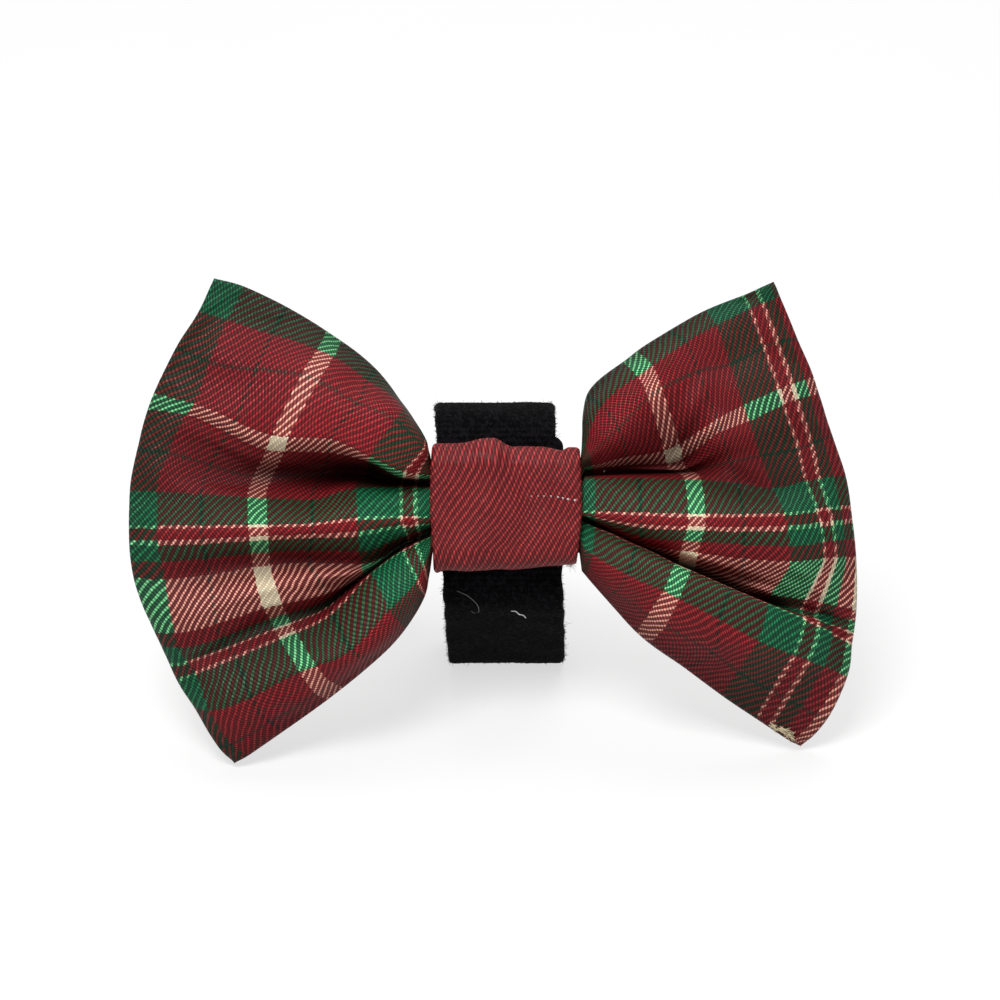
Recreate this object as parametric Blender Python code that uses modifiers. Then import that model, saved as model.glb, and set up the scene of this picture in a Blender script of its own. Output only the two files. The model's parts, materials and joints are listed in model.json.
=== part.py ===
"""A slip-on bow tie for a dog's collar: a turned cloth bow, the knot band that pinches it, and a strap loop.

Every piece is laid out in the bow's own frame: u to the viewer's right, v up along the bow, w out of
its front. An empty then leans that frame back and stands it on the lower tips and the foot of the strap.
"""

import math

import bmesh
import bpy
import numpy as np
from mathutils import Vector

# Sizes in metres

LEAN = math.radians(28.0)
GAP = 0.0003

WING_REACH = 0.0622
WING_RISE = 0.0380
WING_DROP = 0.0426
FRONT_PUFF = 0.0080
BACK_PUFF = 0.0062
CLOTH = 0.0012
SEAM_RADIUS = 0.0009
TURNING_GAP = 0.0060

KNOT_WIDTH = 0.0249
KNOT_TALL = 0.0206
KNOT_WALL = 0.0015
KNOT_CORNER = 0.0020
WAIST_DEPTH = 0.0070

STRAP_WIDTH = 0.0200
STRAP_WALL = 0.0018
STRAP_SLANT = math.tan(math.radians(-2.6))
STRAP_SHIFT = -0.0011
LOOP_RISE = 0.0177
LOOP_DROP = 0.0269
LOOP_TOP_RADIUS = 0.0065
LOOP_KNEE_RADIUS = 0.0085
LOOP_FOOT_RADIUS = 0.0070
END_WALL = 0.0015
END_SIDESTEP = 0.0013
END_RISE = 0.0119
END_DROP = 0.0158

# What follows from them

WAIST_HALF = KNOT_TALL / 2 - KNOT_WALL - GAP - SEAM_RADIUS
BAND_FRONT = WAIST_DEPTH / 2 + GAP
STRAP_FACE = -(BAND_FRONT + KNOT_WALL + GAP)

# Where along a wing the sections lie, from its outer edge to the knot

STATIONS = (0.0, 0.43, 0.80, 1.0)

# The folds of each wing, from its upper edge to its lower one. "cloth" is the share of the cloth's
# height. "out" is the outer edge's distance as a share of the reach. "rise" is the height at the four
# stations, as shares of the wing's rise or, below the knot, of its drop, and at the knot of half the
# waist. "front" is how far the front stands out there, as shares of the puff and, at the knot, of half
# the waist's depth.

LEFT_FOLDS = (
    # name            cloth  out    rise                          front
    ("upper edge",    0.00, 0.772, (1.000, 0.820, 0.565, 1.00), (0.00, 0.00, 0.00, 0.0)),
    ("upper roll",    0.09, 0.838, (0.808, 0.686, 0.503, 0.90), (0.10, 0.55, 0.60, 0.7)),
    ("upper lobe",    0.23, 0.921, (0.513, 0.334, 0.263, 0.70), (0.12, 0.85, 1.00, 1.0)),
    ("upper valley",  0.33, 0.973, (0.303, 0.166, 0.147, 0.42), (-0.08, 0.35, -0.10, 0.0)),
    ("ridge top",     0.43, 0.997, (0.087, 0.047, 0.092, 0.33), (0.00, 0.40, 0.45, 0.8)),
    ("middle ridge",  0.52, 1.000, (-0.094, -0.085, -0.059, -0.16), (0.15, 0.70, 0.78, 1.0)),
    ("small valley",  0.60, 0.987, (-0.272, -0.216, -0.171, -0.36), (0.00, 0.38, 0.15, 0.1)),
    ("small ridge",   0.66, 0.960, (-0.380, -0.303, -0.209, -0.43), (0.10, 0.62, -0.05, 0.0)),
    ("lower crease",  0.74, 0.913, (-0.538, -0.423, -0.243, -0.50), (-0.05, 0.20, -0.15, 0.0)),
    ("lower lobe",    0.82, 0.865, (-0.674, -0.512, -0.310, -0.66), (0.05, 0.55, 0.62, 0.7)),
    ("lower roll",    0.90, 0.804, (-0.845, -0.634, -0.420, -0.87), (0.08, 0.52, 0.80, 0.9)),
    ("lower edge",    1.00, 0.724, (-1.000, -0.775, -0.538, -1.00), (0.00, 0.00, 0.05, 0.0)),
)

RIGHT_FOLDS = (
    # name            cloth  out    rise                          front
    ("upper edge",    0.00, 0.711, (0.987, 0.816, 0.626, 1.00), (0.00, 0.00, 0.00, 0.0)),
    ("upper roll",    0.09, 0.764, (0.800, 0.716, 0.479, 0.90), (0.05, 0.35, 0.70, 0.8)),
    ("upper lobe",    0.22, 0.812, (0.587, 0.392, 0.229, 0.70), (0.10, 0.70, 0.85, 1.0)),
    ("upper valley",  0.32, 0.873, (0.316, 0.261, 0.174, 0.50), (-0.05, 0.62, 0.00, 0.0)),
    ("ridge top",     0.41, 0.905, (0.153, 0.118, 0.134, 0.38), (0.05, 0.45, 0.45, 0.8)),
    ("middle ridge",  0.50, 0.915, (-0.012, -0.047, -0.028, -0.08), (0.15, 0.75, 0.80, 1.0)),
    ("under ridge",   0.58, 0.926, (-0.202, -0.202, -0.108, -0.16), (0.05, 0.60, 0.30, 0.2)),
    ("tucked fold",   0.66, 0.929, (-0.338, -0.279, -0.127, -0.20), (0.00, 0.25, -0.10, 0.0)),
    ("lower crease",  0.73, 0.926, (-0.434, -0.310, -0.140, -0.26), (-0.10, 0.05, -0.12, 0.0)),
    ("lobe edge",     0.79, 0.918, (-0.531, -0.345, -0.165, -0.36), (0.00, 0.50, 0.55, 0.6)),
    ("lower lobe",    0.87, 0.907, (-0.643, -0.441, -0.268, -0.66), (0.05, 0.55, 0.70, 0.9)),
    ("lower edge",    1.00, 0.785, (-0.934, -0.678, -0.423, -1.00), (-0.66, -0.20, 0.00, 0.0)),
)

# How far the band's rim stands proud along its width, from left to right, in millimetres

RIM_RUMPLE = (0.0, 0.1, 0.6, 0.5, -0.1, 0.2, -0.2, -0.5, -0.1, 0.0)

WING_COLUMNS = 15
WAIST_COLUMNS = 3
ROWS = 32


def start_clean():
    for old in list(bpy.data.objects):
        bpy.data.objects.remove(old)


def collection(name, hidden=False):
    made = bpy.data.collections.new(name)
    bpy.context.scene.collection.children.link(made)
    made.hide_render = hidden
    return made


def material(name, colour, roughness):
    made = bpy.data.materials.new(name)
    made.use_nodes = True
    shader = made.node_tree.nodes["Principled BSDF"]
    shader.inputs["Base Color"].default_value = (*colour, 1.0)
    shader.inputs["Roughness"].default_value = roughness
    shader.inputs["Metallic"].default_value = 0.0
    made.diffuse_color = (*colour, 1.0)
    return made


def mesh_object(name, points, faces, where, stuff=None):
    """An object from points and faces, with its faces turned outwards."""
    work = bmesh.new()
    corners = [work.verts.new(point) for point in points]
    for face in faces:
        work.faces.new([corners[i] for i in face])
    bmesh.ops.recalc_face_normals(work, faces=work.faces)
    mesh = bpy.data.meshes.new(name)
    work.to_mesh(mesh)
    work.free()
    mesh.shade_smooth()
    made = bpy.data.objects.new(name, mesh)
    where.objects.link(made)
    if stuff:
        mesh.materials.append(stuff)
    return made


def curve_through(knots, values, at):
    """A smooth curve through (knot, value) pairs, with each tangent set by the pairs on either side."""
    knots = np.asarray(knots, float)
    values = np.asarray(values, float)
    steps = np.diff(knots)
    slopes = np.diff(values, axis=0) / steps.reshape(-1, *[1] * (values.ndim - 1))
    before = np.concatenate([slopes[:1], slopes])
    after = np.concatenate([slopes, slopes[-1:]])
    tangents = (before + after) / 2
    at = np.atleast_1d(at)
    piece = np.clip(np.searchsorted(knots, at, side="right") - 1, 0, len(steps) - 1)
    wide = [slice(None)] + [None] * (values.ndim - 1)
    span = steps[piece][tuple(wide)]
    f = ((at - knots[piece]) / steps[piece])[tuple(wide)]
    return (
        (1 + 2 * f) * (1 - f) ** 2 * values[piece]
        + f * (1 - f) ** 2 * span * tangents[piece]
        + f**2 * (3 - 2 * f) * values[piece + 1]
        - f**2 * (1 - f) * span * tangents[piece + 1]
    )


def wing_sheets(folds, side, along, down):
    """The front and the back of one wing, as grids of points (along, down, uvw).

    Each fold runs from the outer edge to the knot through its heights and depths at the stations.
    The back bulges from the surface that the wing's edges span, and lies flat against the knot.
    """
    cloth = np.array([fold[1] for fold in folds])
    edge_u = np.array([fold[2] for fold in folds]) * WING_REACH
    rise = np.array([fold[3] for fold in folds])
    rise[:, :3] *= np.where(rise[:, :3] > 0, WING_RISE, WING_DROP)
    rise[:, 3] *= WAIST_HALF
    front = np.array([fold[4] for fold in folds])
    front[:, :3] *= FRONT_PUFF
    front[:, 3] *= WAIST_DEPTH / 2

    knot_u = KNOT_WIDTH / 2 + GAP
    out = curve_through(cloth, edge_u, down)
    u = out[None, :] * (1 - along[:, None]) + knot_u * along[:, None]
    v = curve_through(STATIONS, curve_through(cloth, rise, down).T, along)
    w = curve_through(STATIONS, curve_through(cloth, front, down).T, along)

    share = down[None, :]
    spanned = w[:, :1] * (1 - share) + w[:, -1:] * share
    edge_sway = w[:1, :] - (w[0, 0] * (1 - share) + w[0, -1] * share)
    spanned = spanned + (1 - along[:, None]) * edge_sway
    swell = np.sin(np.pi * np.clip(along / 1.2, 0, 1))[:, None] ** 0.7
    arch = (4 * share * (1 - share)) ** 0.6
    pleats = 1 + 0.12 * np.cos(6 * np.pi * share)
    behind = spanned - BACK_PUFF * swell * arch * pleats
    at_knot = -WAIST_DEPTH / 2 * (1 - (2 * share - 1) ** 6)
    settle = np.clip((along[:, None] - 0.6) / 0.4, 0, 1) ** 2
    behind = behind * (1 - settle) + at_knot * settle
    front_w = np.maximum(w, behind + 2 * SEAM_RADIUS)
    front_w[:, 0] = w[:, 0]
    front_w[:, -1] = w[:, -1]
    front_w[0, :] = w[0, :]
    plane = np.stack([side * u, v], axis=-1)
    return (
        np.concatenate([plane, (front_w + SEAM_RADIUS)[..., None]], axis=-1),
        np.concatenate([plane, (np.minimum(behind, w) - SEAM_RADIUS)[..., None]], axis=-1),
    )


def bow_sheets():
    """Both wings and the pinched waist between them, from the left outer edge to the right one."""
    along = np.linspace(0, 1, WING_COLUMNS + 1)
    down = np.linspace(0, 1, ROWS + 1)
    left = wing_sheets(LEFT_FOLDS, -1, along, down)
    right = wing_sheets(RIGHT_FOLDS, 1, along, down)
    shares = np.linspace(0, 1, WAIST_COLUMNS + 1)[1:-1, None, None]
    sheets = []
    for one, other in zip(left, right):
        waist = one[-1:] * (1 - shares) + other[-1:] * shares
        sheets.append(np.concatenate([one, waist, other[::-1]]))
    front, back = sheets
    for sheet in (front, back):
        middle = slice(WING_COLUMNS, -WING_COLUMNS)
        sheet[middle, :, 2] = np.clip(sheet[middle, :, 2], -WAIST_DEPTH / 2, WAIST_DEPTH / 2)
    return front, back


def grid_faces(columns, rows, first=0):
    return [
        (
            first + i * rows + j,
            first + (i + 1) * rows + j,
            first + (i + 1) * rows + j + 1,
            first + i * rows + j + 1,
        )
        for i in range(columns - 1)
        for j in range(rows - 1)
    ]


def border(columns, rows):
    """The grid indices round a sheet's edge, in order."""
    top = [i * rows for i in range(columns)]
    right = [(columns - 1) * rows + j for j in range(1, rows)]
    bottom = [i * rows + rows - 1 for i in range(columns - 2, -1, -1)]
    left = [j for j in range(rows - 2, 0, -1)]
    return top + right + bottom + left


def pillow(name, front, back, rim, where, stuff=None):
    """Two sheets closed round their edge by a rim that stands out by the given radius."""
    columns, rows = front.shape[:2]
    count = columns * rows
    ring = border(columns, rows)
    face_points = front.reshape(-1, 3)
    back_points = back.reshape(-1, 3)
    middle = (face_points[ring] + back_points[ring]) / 2
    run = np.roll(middle, -1, axis=0) - np.roll(middle, 1, axis=0)
    outward = np.stack([run[:, 1], -run[:, 0], np.zeros(len(ring))], axis=1)
    outward /= np.maximum(np.linalg.norm(outward, axis=1, keepdims=True), 1e-9)
    if np.sum(outward * (middle - middle.mean(axis=0))) < 0:
        outward = -outward
    points = np.concatenate([face_points, back_points, middle + outward * rim])
    faces = grid_faces(columns, rows) + grid_faces(columns, rows, count)
    for k, here in enumerate(ring):
        step = (k + 1) % len(ring)
        there = ring[step]
        faces.append((here, there, 2 * count + step, 2 * count + k))
        faces.append((2 * count + k, 2 * count + step, count + there, count + here))
    return mesh_object(name, [Vector(p) for p in points], faces, where, stuff)


def steepness(sheet):
    """How much longer a wall is along w than straight through it, at each point of a sheet."""
    across = np.gradient(sheet, axis=0)
    downward = np.gradient(sheet, axis=1)
    normal = np.cross(across, downward)
    length = np.linalg.norm(normal, axis=-1)
    return np.clip(length / np.maximum(np.abs(normal[..., 2]), 1e-12), 1.0, 2.2)


def hollow(name, front, back, where):
    """The space inside one wing, a wall's thickness from both sheets, closed round its own edge."""
    inner_front = front.copy()
    inner_back = back.copy()
    inner_front[..., 2] -= CLOTH * steepness(front)
    inner_back[..., 2] += CLOTH * steepness(back)
    middle = (inner_front[..., 2] + inner_back[..., 2]) / 2
    half = np.maximum((inner_front[..., 2] - inner_back[..., 2]) / 2, GAP / 2)
    inner_front[..., 2] = middle + half
    inner_back[..., 2] = middle - half
    edge = (slice(1, -1), slice(2, -2))
    return pillow(name, inner_front[edge], inner_back[edge], GAP / 2, where)


def box(name, centre, size, where):
    bpy.ops.mesh.primitive_cube_add(size=1.0, location=centre)
    made = bpy.context.active_object
    made.name = name
    made.scale = size
    bpy.ops.object.transform_apply(location=True, rotation=False, scale=True)
    for other in list(made.users_collection):
        other.objects.unlink(made)
    where.objects.link(made)
    return made


def cut(target, cutter):
    """Takes the cutter out of the target, and keeps the cutter as a hidden guide."""
    cutter.hide_render = True
    cutter.display_type = "WIRE"
    modifier = target.modifiers.new(cutter.name, "BOOLEAN")
    modifier.operation = "DIFFERENCE"
    modifier.solver = "EXACT"
    modifier.object = cutter


def make_bow(parts, cutters, stuff):
    """The turned cloth pillow: folded wings, a pinched waist, hollow, with its turning gap behind."""
    front, back = bow_sheets()
    bow = pillow("bow", front, back, SEAM_RADIUS, parts, stuff)
    inside = WING_COLUMNS - 1
    cut(bow, hollow("left_hollow", front[:inside], back[:inside], cutters))
    cut(bow, hollow("right_hollow", front[-inside:], back[-inside:], cutters))
    reach = KNOT_WIDTH / 2 + (WING_REACH - KNOT_WIDTH / 2) * 3.2 / WING_COLUMNS
    ridge = -0.05 * WING_DROP
    channel = (2 * reach, WAIST_HALF * 0.35, WAIST_DEPTH * 0.2)
    cut(bow, box("waist_channel", (0, ridge, 0), channel, cutters))
    slit = (TURNING_GAP, WAIST_HALF * 0.3, WAIST_DEPTH)
    cut(bow, box("turning_gap", (0, ridge, -WAIST_DEPTH / 2), slit, cutters))
    return bow


def band_profile(corner_points=6):
    """The band's inner face round the waist: a rectangle with rounded corners, as (v, w)."""
    half_v = KNOT_TALL / 2 - KNOT_WALL
    half_w = BAND_FRONT
    radius = min(KNOT_CORNER, half_w)
    profile = []
    for quarter, (sv, sw) in enumerate(((1, 1), (-1, 1), (-1, -1), (1, -1))):
        for k in range(corner_points):
            angle = math.pi / 2 * (k / (corner_points - 1))
            c, s = math.cos(angle), math.sin(angle)
            if quarter % 2:
                c, s = s, c
            profile.append((sv * (half_v - radius + radius * c), sw * (half_w - radius + radius * s)))
    return profile


def make_knot_band(parts, stuff):
    """The plain wrap round the waist, its upper and lower rims a little rumpled."""
    profile = band_profile()
    stations = len(RIM_RUMPLE)
    points = []
    for i, rumple in enumerate(RIM_RUMPLE):
        u = KNOT_WIDTH * (i / (stations - 1) - 0.5)
        for v, w in profile:
            lift = rumple / 1000 * max(0.0, v / (KNOT_TALL / 2 - KNOT_WALL)) * 0.5
            points.append((u, v + max(lift, 0.0), w))
    around = len(profile)
    faces = [
        (
            i * around + j,
            (i + 1) * around + j,
            (i + 1) * around + (j + 1) % around,
            i * around + (j + 1) % around,
        )
        for i in range(stations - 1)
        for j in range(around)
    ]
    band = mesh_object("knot_band", points, faces, parts, stuff)
    wall = band.modifiers.new("wall", "SOLIDIFY")
    wall.thickness = KNOT_WALL
    wall.offset = 1.0
    wall.use_even_offset = True
    return band


def lowest_height(piece):
    """How far the piece's lowest point lies above the knot's centre once leant back: a negative height."""
    return min(p.co.y * math.cos(LEAN) + p.co.z * math.sin(LEAN) for p in piece.data.vertices)


def foot_centre(floor):
    """The foot's centre (v, w), at the height that lays the strap's underside on the surface."""
    v = -LOOP_DROP + LOOP_FOOT_RADIUS
    w = (floor + LOOP_FOOT_RADIUS - v * math.cos(LEAN)) / math.sin(LEAN)
    return v, w


def belt(circles, step=math.radians(12)):
    """The outline of a belt drawn tight round circles (v, w, radius) that follow each other anticlockwise."""
    outline = []
    count = len(circles)
    headings = []
    for k, (v, w, r) in enumerate(circles):
        v2, w2, r2 = circles[(k + 1) % count]
        dv, dw = v2 - v, w2 - w
        headings.append(math.atan2(dw, dv) - math.acos((r - r2) / math.hypot(dv, dw)))
    for k, (v, w, r) in enumerate(circles):
        start, end = headings[k - 1], headings[k]
        turn = (end - start) % (2 * math.pi)
        pieces = max(1, round(turn / step))
        for i in range(pieces + 1):
            angle = start + turn * i / pieces
            outline.append((v + r * math.cos(angle), w + r * math.sin(angle)))
    return outline


def loop_outline(floor, inset=0.0):
    """The strap loop's outline: down the front to the knee and the foot, then up the back."""
    foot_v, foot_w = foot_centre(floor)
    return belt([
        (LOOP_RISE - LOOP_TOP_RADIUS, STRAP_FACE - LOOP_TOP_RADIUS, LOOP_TOP_RADIUS - inset),
        (-KNOT_TALL / 2, STRAP_FACE - LOOP_KNEE_RADIUS, LOOP_KNEE_RADIUS - inset),
        (foot_v, foot_w, LOOP_FOOT_RADIUS - inset),
    ])


def ribbon(name, outline, closed, width, centre, thickness, where, stuff):
    """A strap along an outline (v, w), of the given width in u, thickened to the loop's inside."""
    points = []
    for v, w in outline:
        shift = centre + STRAP_SHIFT + STRAP_SLANT * v
        points.append((shift - width / 2, v, w))
        points.append((shift + width / 2, v, w))
    count = len(outline)
    faces = [
        (2 * i, 2 * i + 1, 2 * ((i + 1) % count) + 1, 2 * ((i + 1) % count))
        for i in range(count if closed else count - 1)
    ]
    strap = mesh_object(name, points, faces, where, stuff)
    facing = strap.data.polygons[0].normal
    middle = np.mean([(v, w) for v, w in outline], axis=0)
    inward = Vector((0, middle[0], middle[1])) - strap.data.polygons[0].center
    wall = strap.modifiers.new("wall", "SOLIDIFY")
    wall.thickness = thickness
    wall.offset = 1.0 if facing.dot(inward) > 0 else -1.0
    wall.use_even_offset = True
    return strap


def make_strap_loop(floor, parts, stuff):
    """The closed loop that a collar passes through, sewn behind the knot and standing on its foot."""
    return ribbon("strap_loop", loop_outline(floor), True, STRAP_WIDTH, 0.0, STRAP_WALL, parts, stuff)


def make_strap_end(floor, parts, stuff):
    """The strap's overlapped end: a second layer inside the front run, a step to the right."""
    inner = loop_outline(floor, STRAP_WALL + GAP)
    front = STRAP_FACE - LOOP_TOP_RADIUS
    run = [(v, w) for v, w in inner if w > front and -END_DROP < v < END_RISE]
    run.sort(reverse=True)
    run.insert(0, (END_RISE, run[0][1]))
    return ribbon("strap_end", run, False, STRAP_WIDTH, END_SIDESTEP, END_WALL, parts, stuff)


def stand(pieces, parts):
    """Leans the bow's frame back on an empty, and puts the middle of its footprint at the origin."""
    frame = bpy.data.objects.new("stand", None)
    parts.objects.link(frame)
    frame.rotation_euler = (math.pi / 2 - LEAN, 0.0, 0.0)
    for piece in pieces:
        piece.parent = frame
    bpy.context.view_layer.update()
    graph = bpy.context.evaluated_depsgraph_get()
    corners = []
    for piece in pieces:
        if piece.hide_render:
            continue
        shown = piece.evaluated_get(graph)
        corners += [shown.matrix_world @ vertex.co for vertex in shown.data.vertices]
    low = np.min(corners, axis=0)
    high = np.max(corners, axis=0)
    frame.location = (-(low[0] + high[0]) / 2, -(low[1] + high[1]) / 2, -low[2])


def main():
    start_clean()
    parts = collection("collar_bow_tie")
    cutters = collection("cutters", hidden=True)
    plaid = material("plaid_twill", (0.22, 0.035, 0.035), 0.6)
    plain = material("burgundy_twill", (0.27, 0.045, 0.045), 0.65)
    black = material("black_strap", (0.008, 0.008, 0.009), 0.9)
    bow = make_bow(parts, cutters, plaid)
    floor = lowest_height(bow)
    make_knot_band(parts, plain)
    make_strap_loop(floor, parts, black)
    make_strap_end(floor, parts, black)
    stand(list(parts.objects) + list(cutters.objects), parts)


if __name__ == "__main__":
    main()
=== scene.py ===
"""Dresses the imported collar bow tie: plaid twill bow, burgundy knot band, brushed black strap loop.

Laid out as a Blender add-on and run as a script. Lengths in the tables are millimetres in the bow's own
frame: u to the viewer's right, v up along the bow, w out of its front, all from the knot's centre.
"""

import json
import math

import bpy
import numpy as np
from bpy.props import FloatProperty, FloatVectorProperty, PointerProperty
from bpy.types import Operator, Panel, PropertyGroup
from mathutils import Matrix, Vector
from mathutils.bvhtree import BVHTree

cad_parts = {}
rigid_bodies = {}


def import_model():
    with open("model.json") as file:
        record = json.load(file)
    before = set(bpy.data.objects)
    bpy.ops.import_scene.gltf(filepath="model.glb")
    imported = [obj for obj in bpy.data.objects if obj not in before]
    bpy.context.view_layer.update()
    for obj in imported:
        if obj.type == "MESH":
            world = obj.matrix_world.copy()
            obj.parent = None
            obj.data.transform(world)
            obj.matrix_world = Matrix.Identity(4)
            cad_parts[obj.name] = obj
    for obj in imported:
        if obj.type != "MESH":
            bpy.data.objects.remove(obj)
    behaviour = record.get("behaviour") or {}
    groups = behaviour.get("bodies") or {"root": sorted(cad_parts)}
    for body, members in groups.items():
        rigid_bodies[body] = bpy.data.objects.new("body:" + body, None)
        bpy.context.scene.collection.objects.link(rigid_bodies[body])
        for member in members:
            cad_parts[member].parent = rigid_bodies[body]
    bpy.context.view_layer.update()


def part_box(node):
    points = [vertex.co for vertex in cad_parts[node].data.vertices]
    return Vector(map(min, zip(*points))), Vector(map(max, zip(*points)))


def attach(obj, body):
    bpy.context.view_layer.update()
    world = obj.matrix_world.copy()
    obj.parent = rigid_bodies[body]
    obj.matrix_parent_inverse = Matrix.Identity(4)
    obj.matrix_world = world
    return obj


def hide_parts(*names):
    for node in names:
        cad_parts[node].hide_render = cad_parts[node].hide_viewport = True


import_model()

bl_info = {
    "name": "Collar bow tie",
    "version": (1, 0, 0),
    "blender": (4, 5, 0),
    "location": "View3D > Sidebar > Bow tie",
    "description": "Builds the cloth, strap and stage of a slip-on collar bow tie",
    "category": "Object",
}

# Metres in a millimetre, and millimetres in one unit of the cloth map

MM = 0.001
CLOTH_MAP_UNIT = 100

# The bow's lean, and the knot's outer corner that sets its box

LEAN = math.radians(28.0)
KNOT_HALF_WIDTH = 12.45
KNOT_CORNER = 3.5
KNOT_CORNER_AT = (6.8, 1.8)

# The camera stands this far from the knot, this much to the right of it and above it

SIGHT = 600.0
SIGHT_OFFSET = (-0.99, 1.32)
SENSOR = 36.0
VIEW_WIDTH = 165.0

# The seam's half thickness, and how far the back of a wing bulges

SEAM = 0.9
BACK_PUFF = 6.0

# The waist inside the band: half its height and half its depth

WAIST_HALF = 7.4
WAIST_DEPTH = 3.3

# Where each column of the cloth crosses each line: the line's name, its distance down the cloth, then
# u, v and w at every column

LEFT_CHART = (
    ("upper edge", 0.0, (-48.2, -43.1, -28.5, -21.6, -17.0, -13.4, -12.7),
     (38.0, 36.5, 28.5, 23.1, 17.2, 11.7, 9.2),
     (0.0, 0.0, 0.0, -0.5, -1.5, -1.5, -0.5)),
    ("green foot", 6.3, (-50.7, -46.0, -29.9, -23.1, -17.0, -13.5, -12.5),
     (32.5, 31.0, 25.6, 21.4, 16.7, 11.4, 8.7),
     (0.5, 1.8, 4.0, 4.5, 3.0, 2.5, 1.5)),
    ("upper roll", 13.5, (-54.3, -48.7, -32.3, -24.6, -18.2, -13.7, -12.5),
     (26.7, 24.3, 21.8, 17.7, 14.7, 10.2, 7.8),
     (0.6, 3.0, 7.5, 8.5, 8.2, 6.5, 3.0)),
    ("cream line", 20.8, (-57.8, -51.1, -37.0, -29.0, -22.4, -16.8, -12.5),
     (19.5, 17.7, 12.5, 12.0, 8.9, 6.3, 5.6),
     (0.6, 3.0, 8.0, 9.5, 9.0, 7.0, 3.4)),
    ("lobe foot", 26.0, (-59.4, -53.1, -38.4, -29.7, -22.8, -17.2, -12.5),
     (15.2, 14.4, 8.7, 8.6, 7.4, 4.8, 4.5),
     (0.3, 2.0, 4.0, 1.5, -0.5, -0.8, 0.2)),
    ("pocket", 31.5, (-60.7, -55.3, -39.9, -30.4, -23.1, -17.5, -12.5),
     (10.2, 9.6, 5.6, 5.9, 5.6, 4.0, 3.8),
     (0.0, 1.2, 0.0, -2.8, -5.2, -5.2, -1.8)),
    ("ridge top", 38.9, (-62.0, -57.3, -41.1, -32.3, -24.8, -17.7, -12.5),
     (3.3, 3.1, 1.9, 1.7, 3.5, 3.5, 3.3),
     (0.3, 1.6, 2.5, 2.5, 1.5, 1.0, 1.5)),
    ("middle ridge", 47.2, (-62.2, -57.4, -40.9, -32.2, -24.6, -17.5, -12.5),
     (-4.0, -4.0, -3.6, -3.3, -2.6, -2.1, -2.0),
     (0.7, 3.2, 6.5, 7.0, 6.5, 5.5, 3.3)),
    ("small valley", 54.4, (-61.5, -56.1, -40.3, -32.8, -23.9, -16.3, -12.5),
     (-11.1, -11.2, -9.2, -8.7, -8.9, -5.4, -3.6),
     (0.2, 1.4, 1.5, 1.0, 0.0, -2.0, -1.2)),
    ("small ridge", 59.2, (-60.1, -55.4, -39.6, -31.5, -23.8, -16.7, -12.5),
     (-15.7, -15.7, -12.7, -11.4, -10.4, -5.9, -3.8),
     (0.3, 2.4, 4.8, 4.4, 1.5, -4.0, -2.2)),
    ("cream foot", 64.0, (-58.2, -54.6, -38.7, -30.0, -23.6, -16.8, -12.5),
     (-20.0, -19.9, -15.8, -13.9, -11.1, -6.3, -4.0),
     (0.3, 2.0, 4.2, 2.0, -2.2, -5.0, -2.6)),
    ("crease", 68.0, (-56.6, -53.5, -37.4, -29.7, -23.5, -16.5, -12.5),
     (-23.4, -23.6, -18.2, -15.7, -10.9, -6.6, -4.1),
     (0.0, 1.0, 1.0, -1.5, -4.5, -5.0, -2.2)),
    ("red line", 72.9, (-54.3, -51.1, -36.1, -29.0, -22.4, -17.2, -12.5),
     (-28.4, -27.1, -20.8, -17.3, -10.9, -7.1, -4.8),
     (0.0, 1.2, 2.0, 2.0, 2.5, 2.0, 0.8)),
    ("lower lobe", 79.5, (-51.6, -48.9, -32.8, -26.0, -19.5, -15.0, -12.5),
     (-32.7, -33.0, -26.2, -23.3, -16.5, -11.9, -6.9),
     (0.2, 2.2, 5.5, 6.5, 7.0, 6.0, 3.2)),
    ("lower roll", 86.0, (-48.2, -45.9, -30.4, -23.1, -17.7, -14.0, -12.5),
     (-38.4, -38.0, -29.7, -24.9, -18.8, -13.9, -8.7),
     (0.0, 1.2, 4.0, 4.6, 5.0, 4.5, 2.5)),
    ("lower edge", 91.4, (-45.0, -42.8, -28.4, -21.1, -16.7, -13.5, -12.5),
     (-42.7, -41.1, -30.9, -24.8, -20.0, -14.7, -10.4),
     (-0.8, -0.6, 0.0, 0.0, 0.0, 0.5, 0.0)),
)
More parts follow.
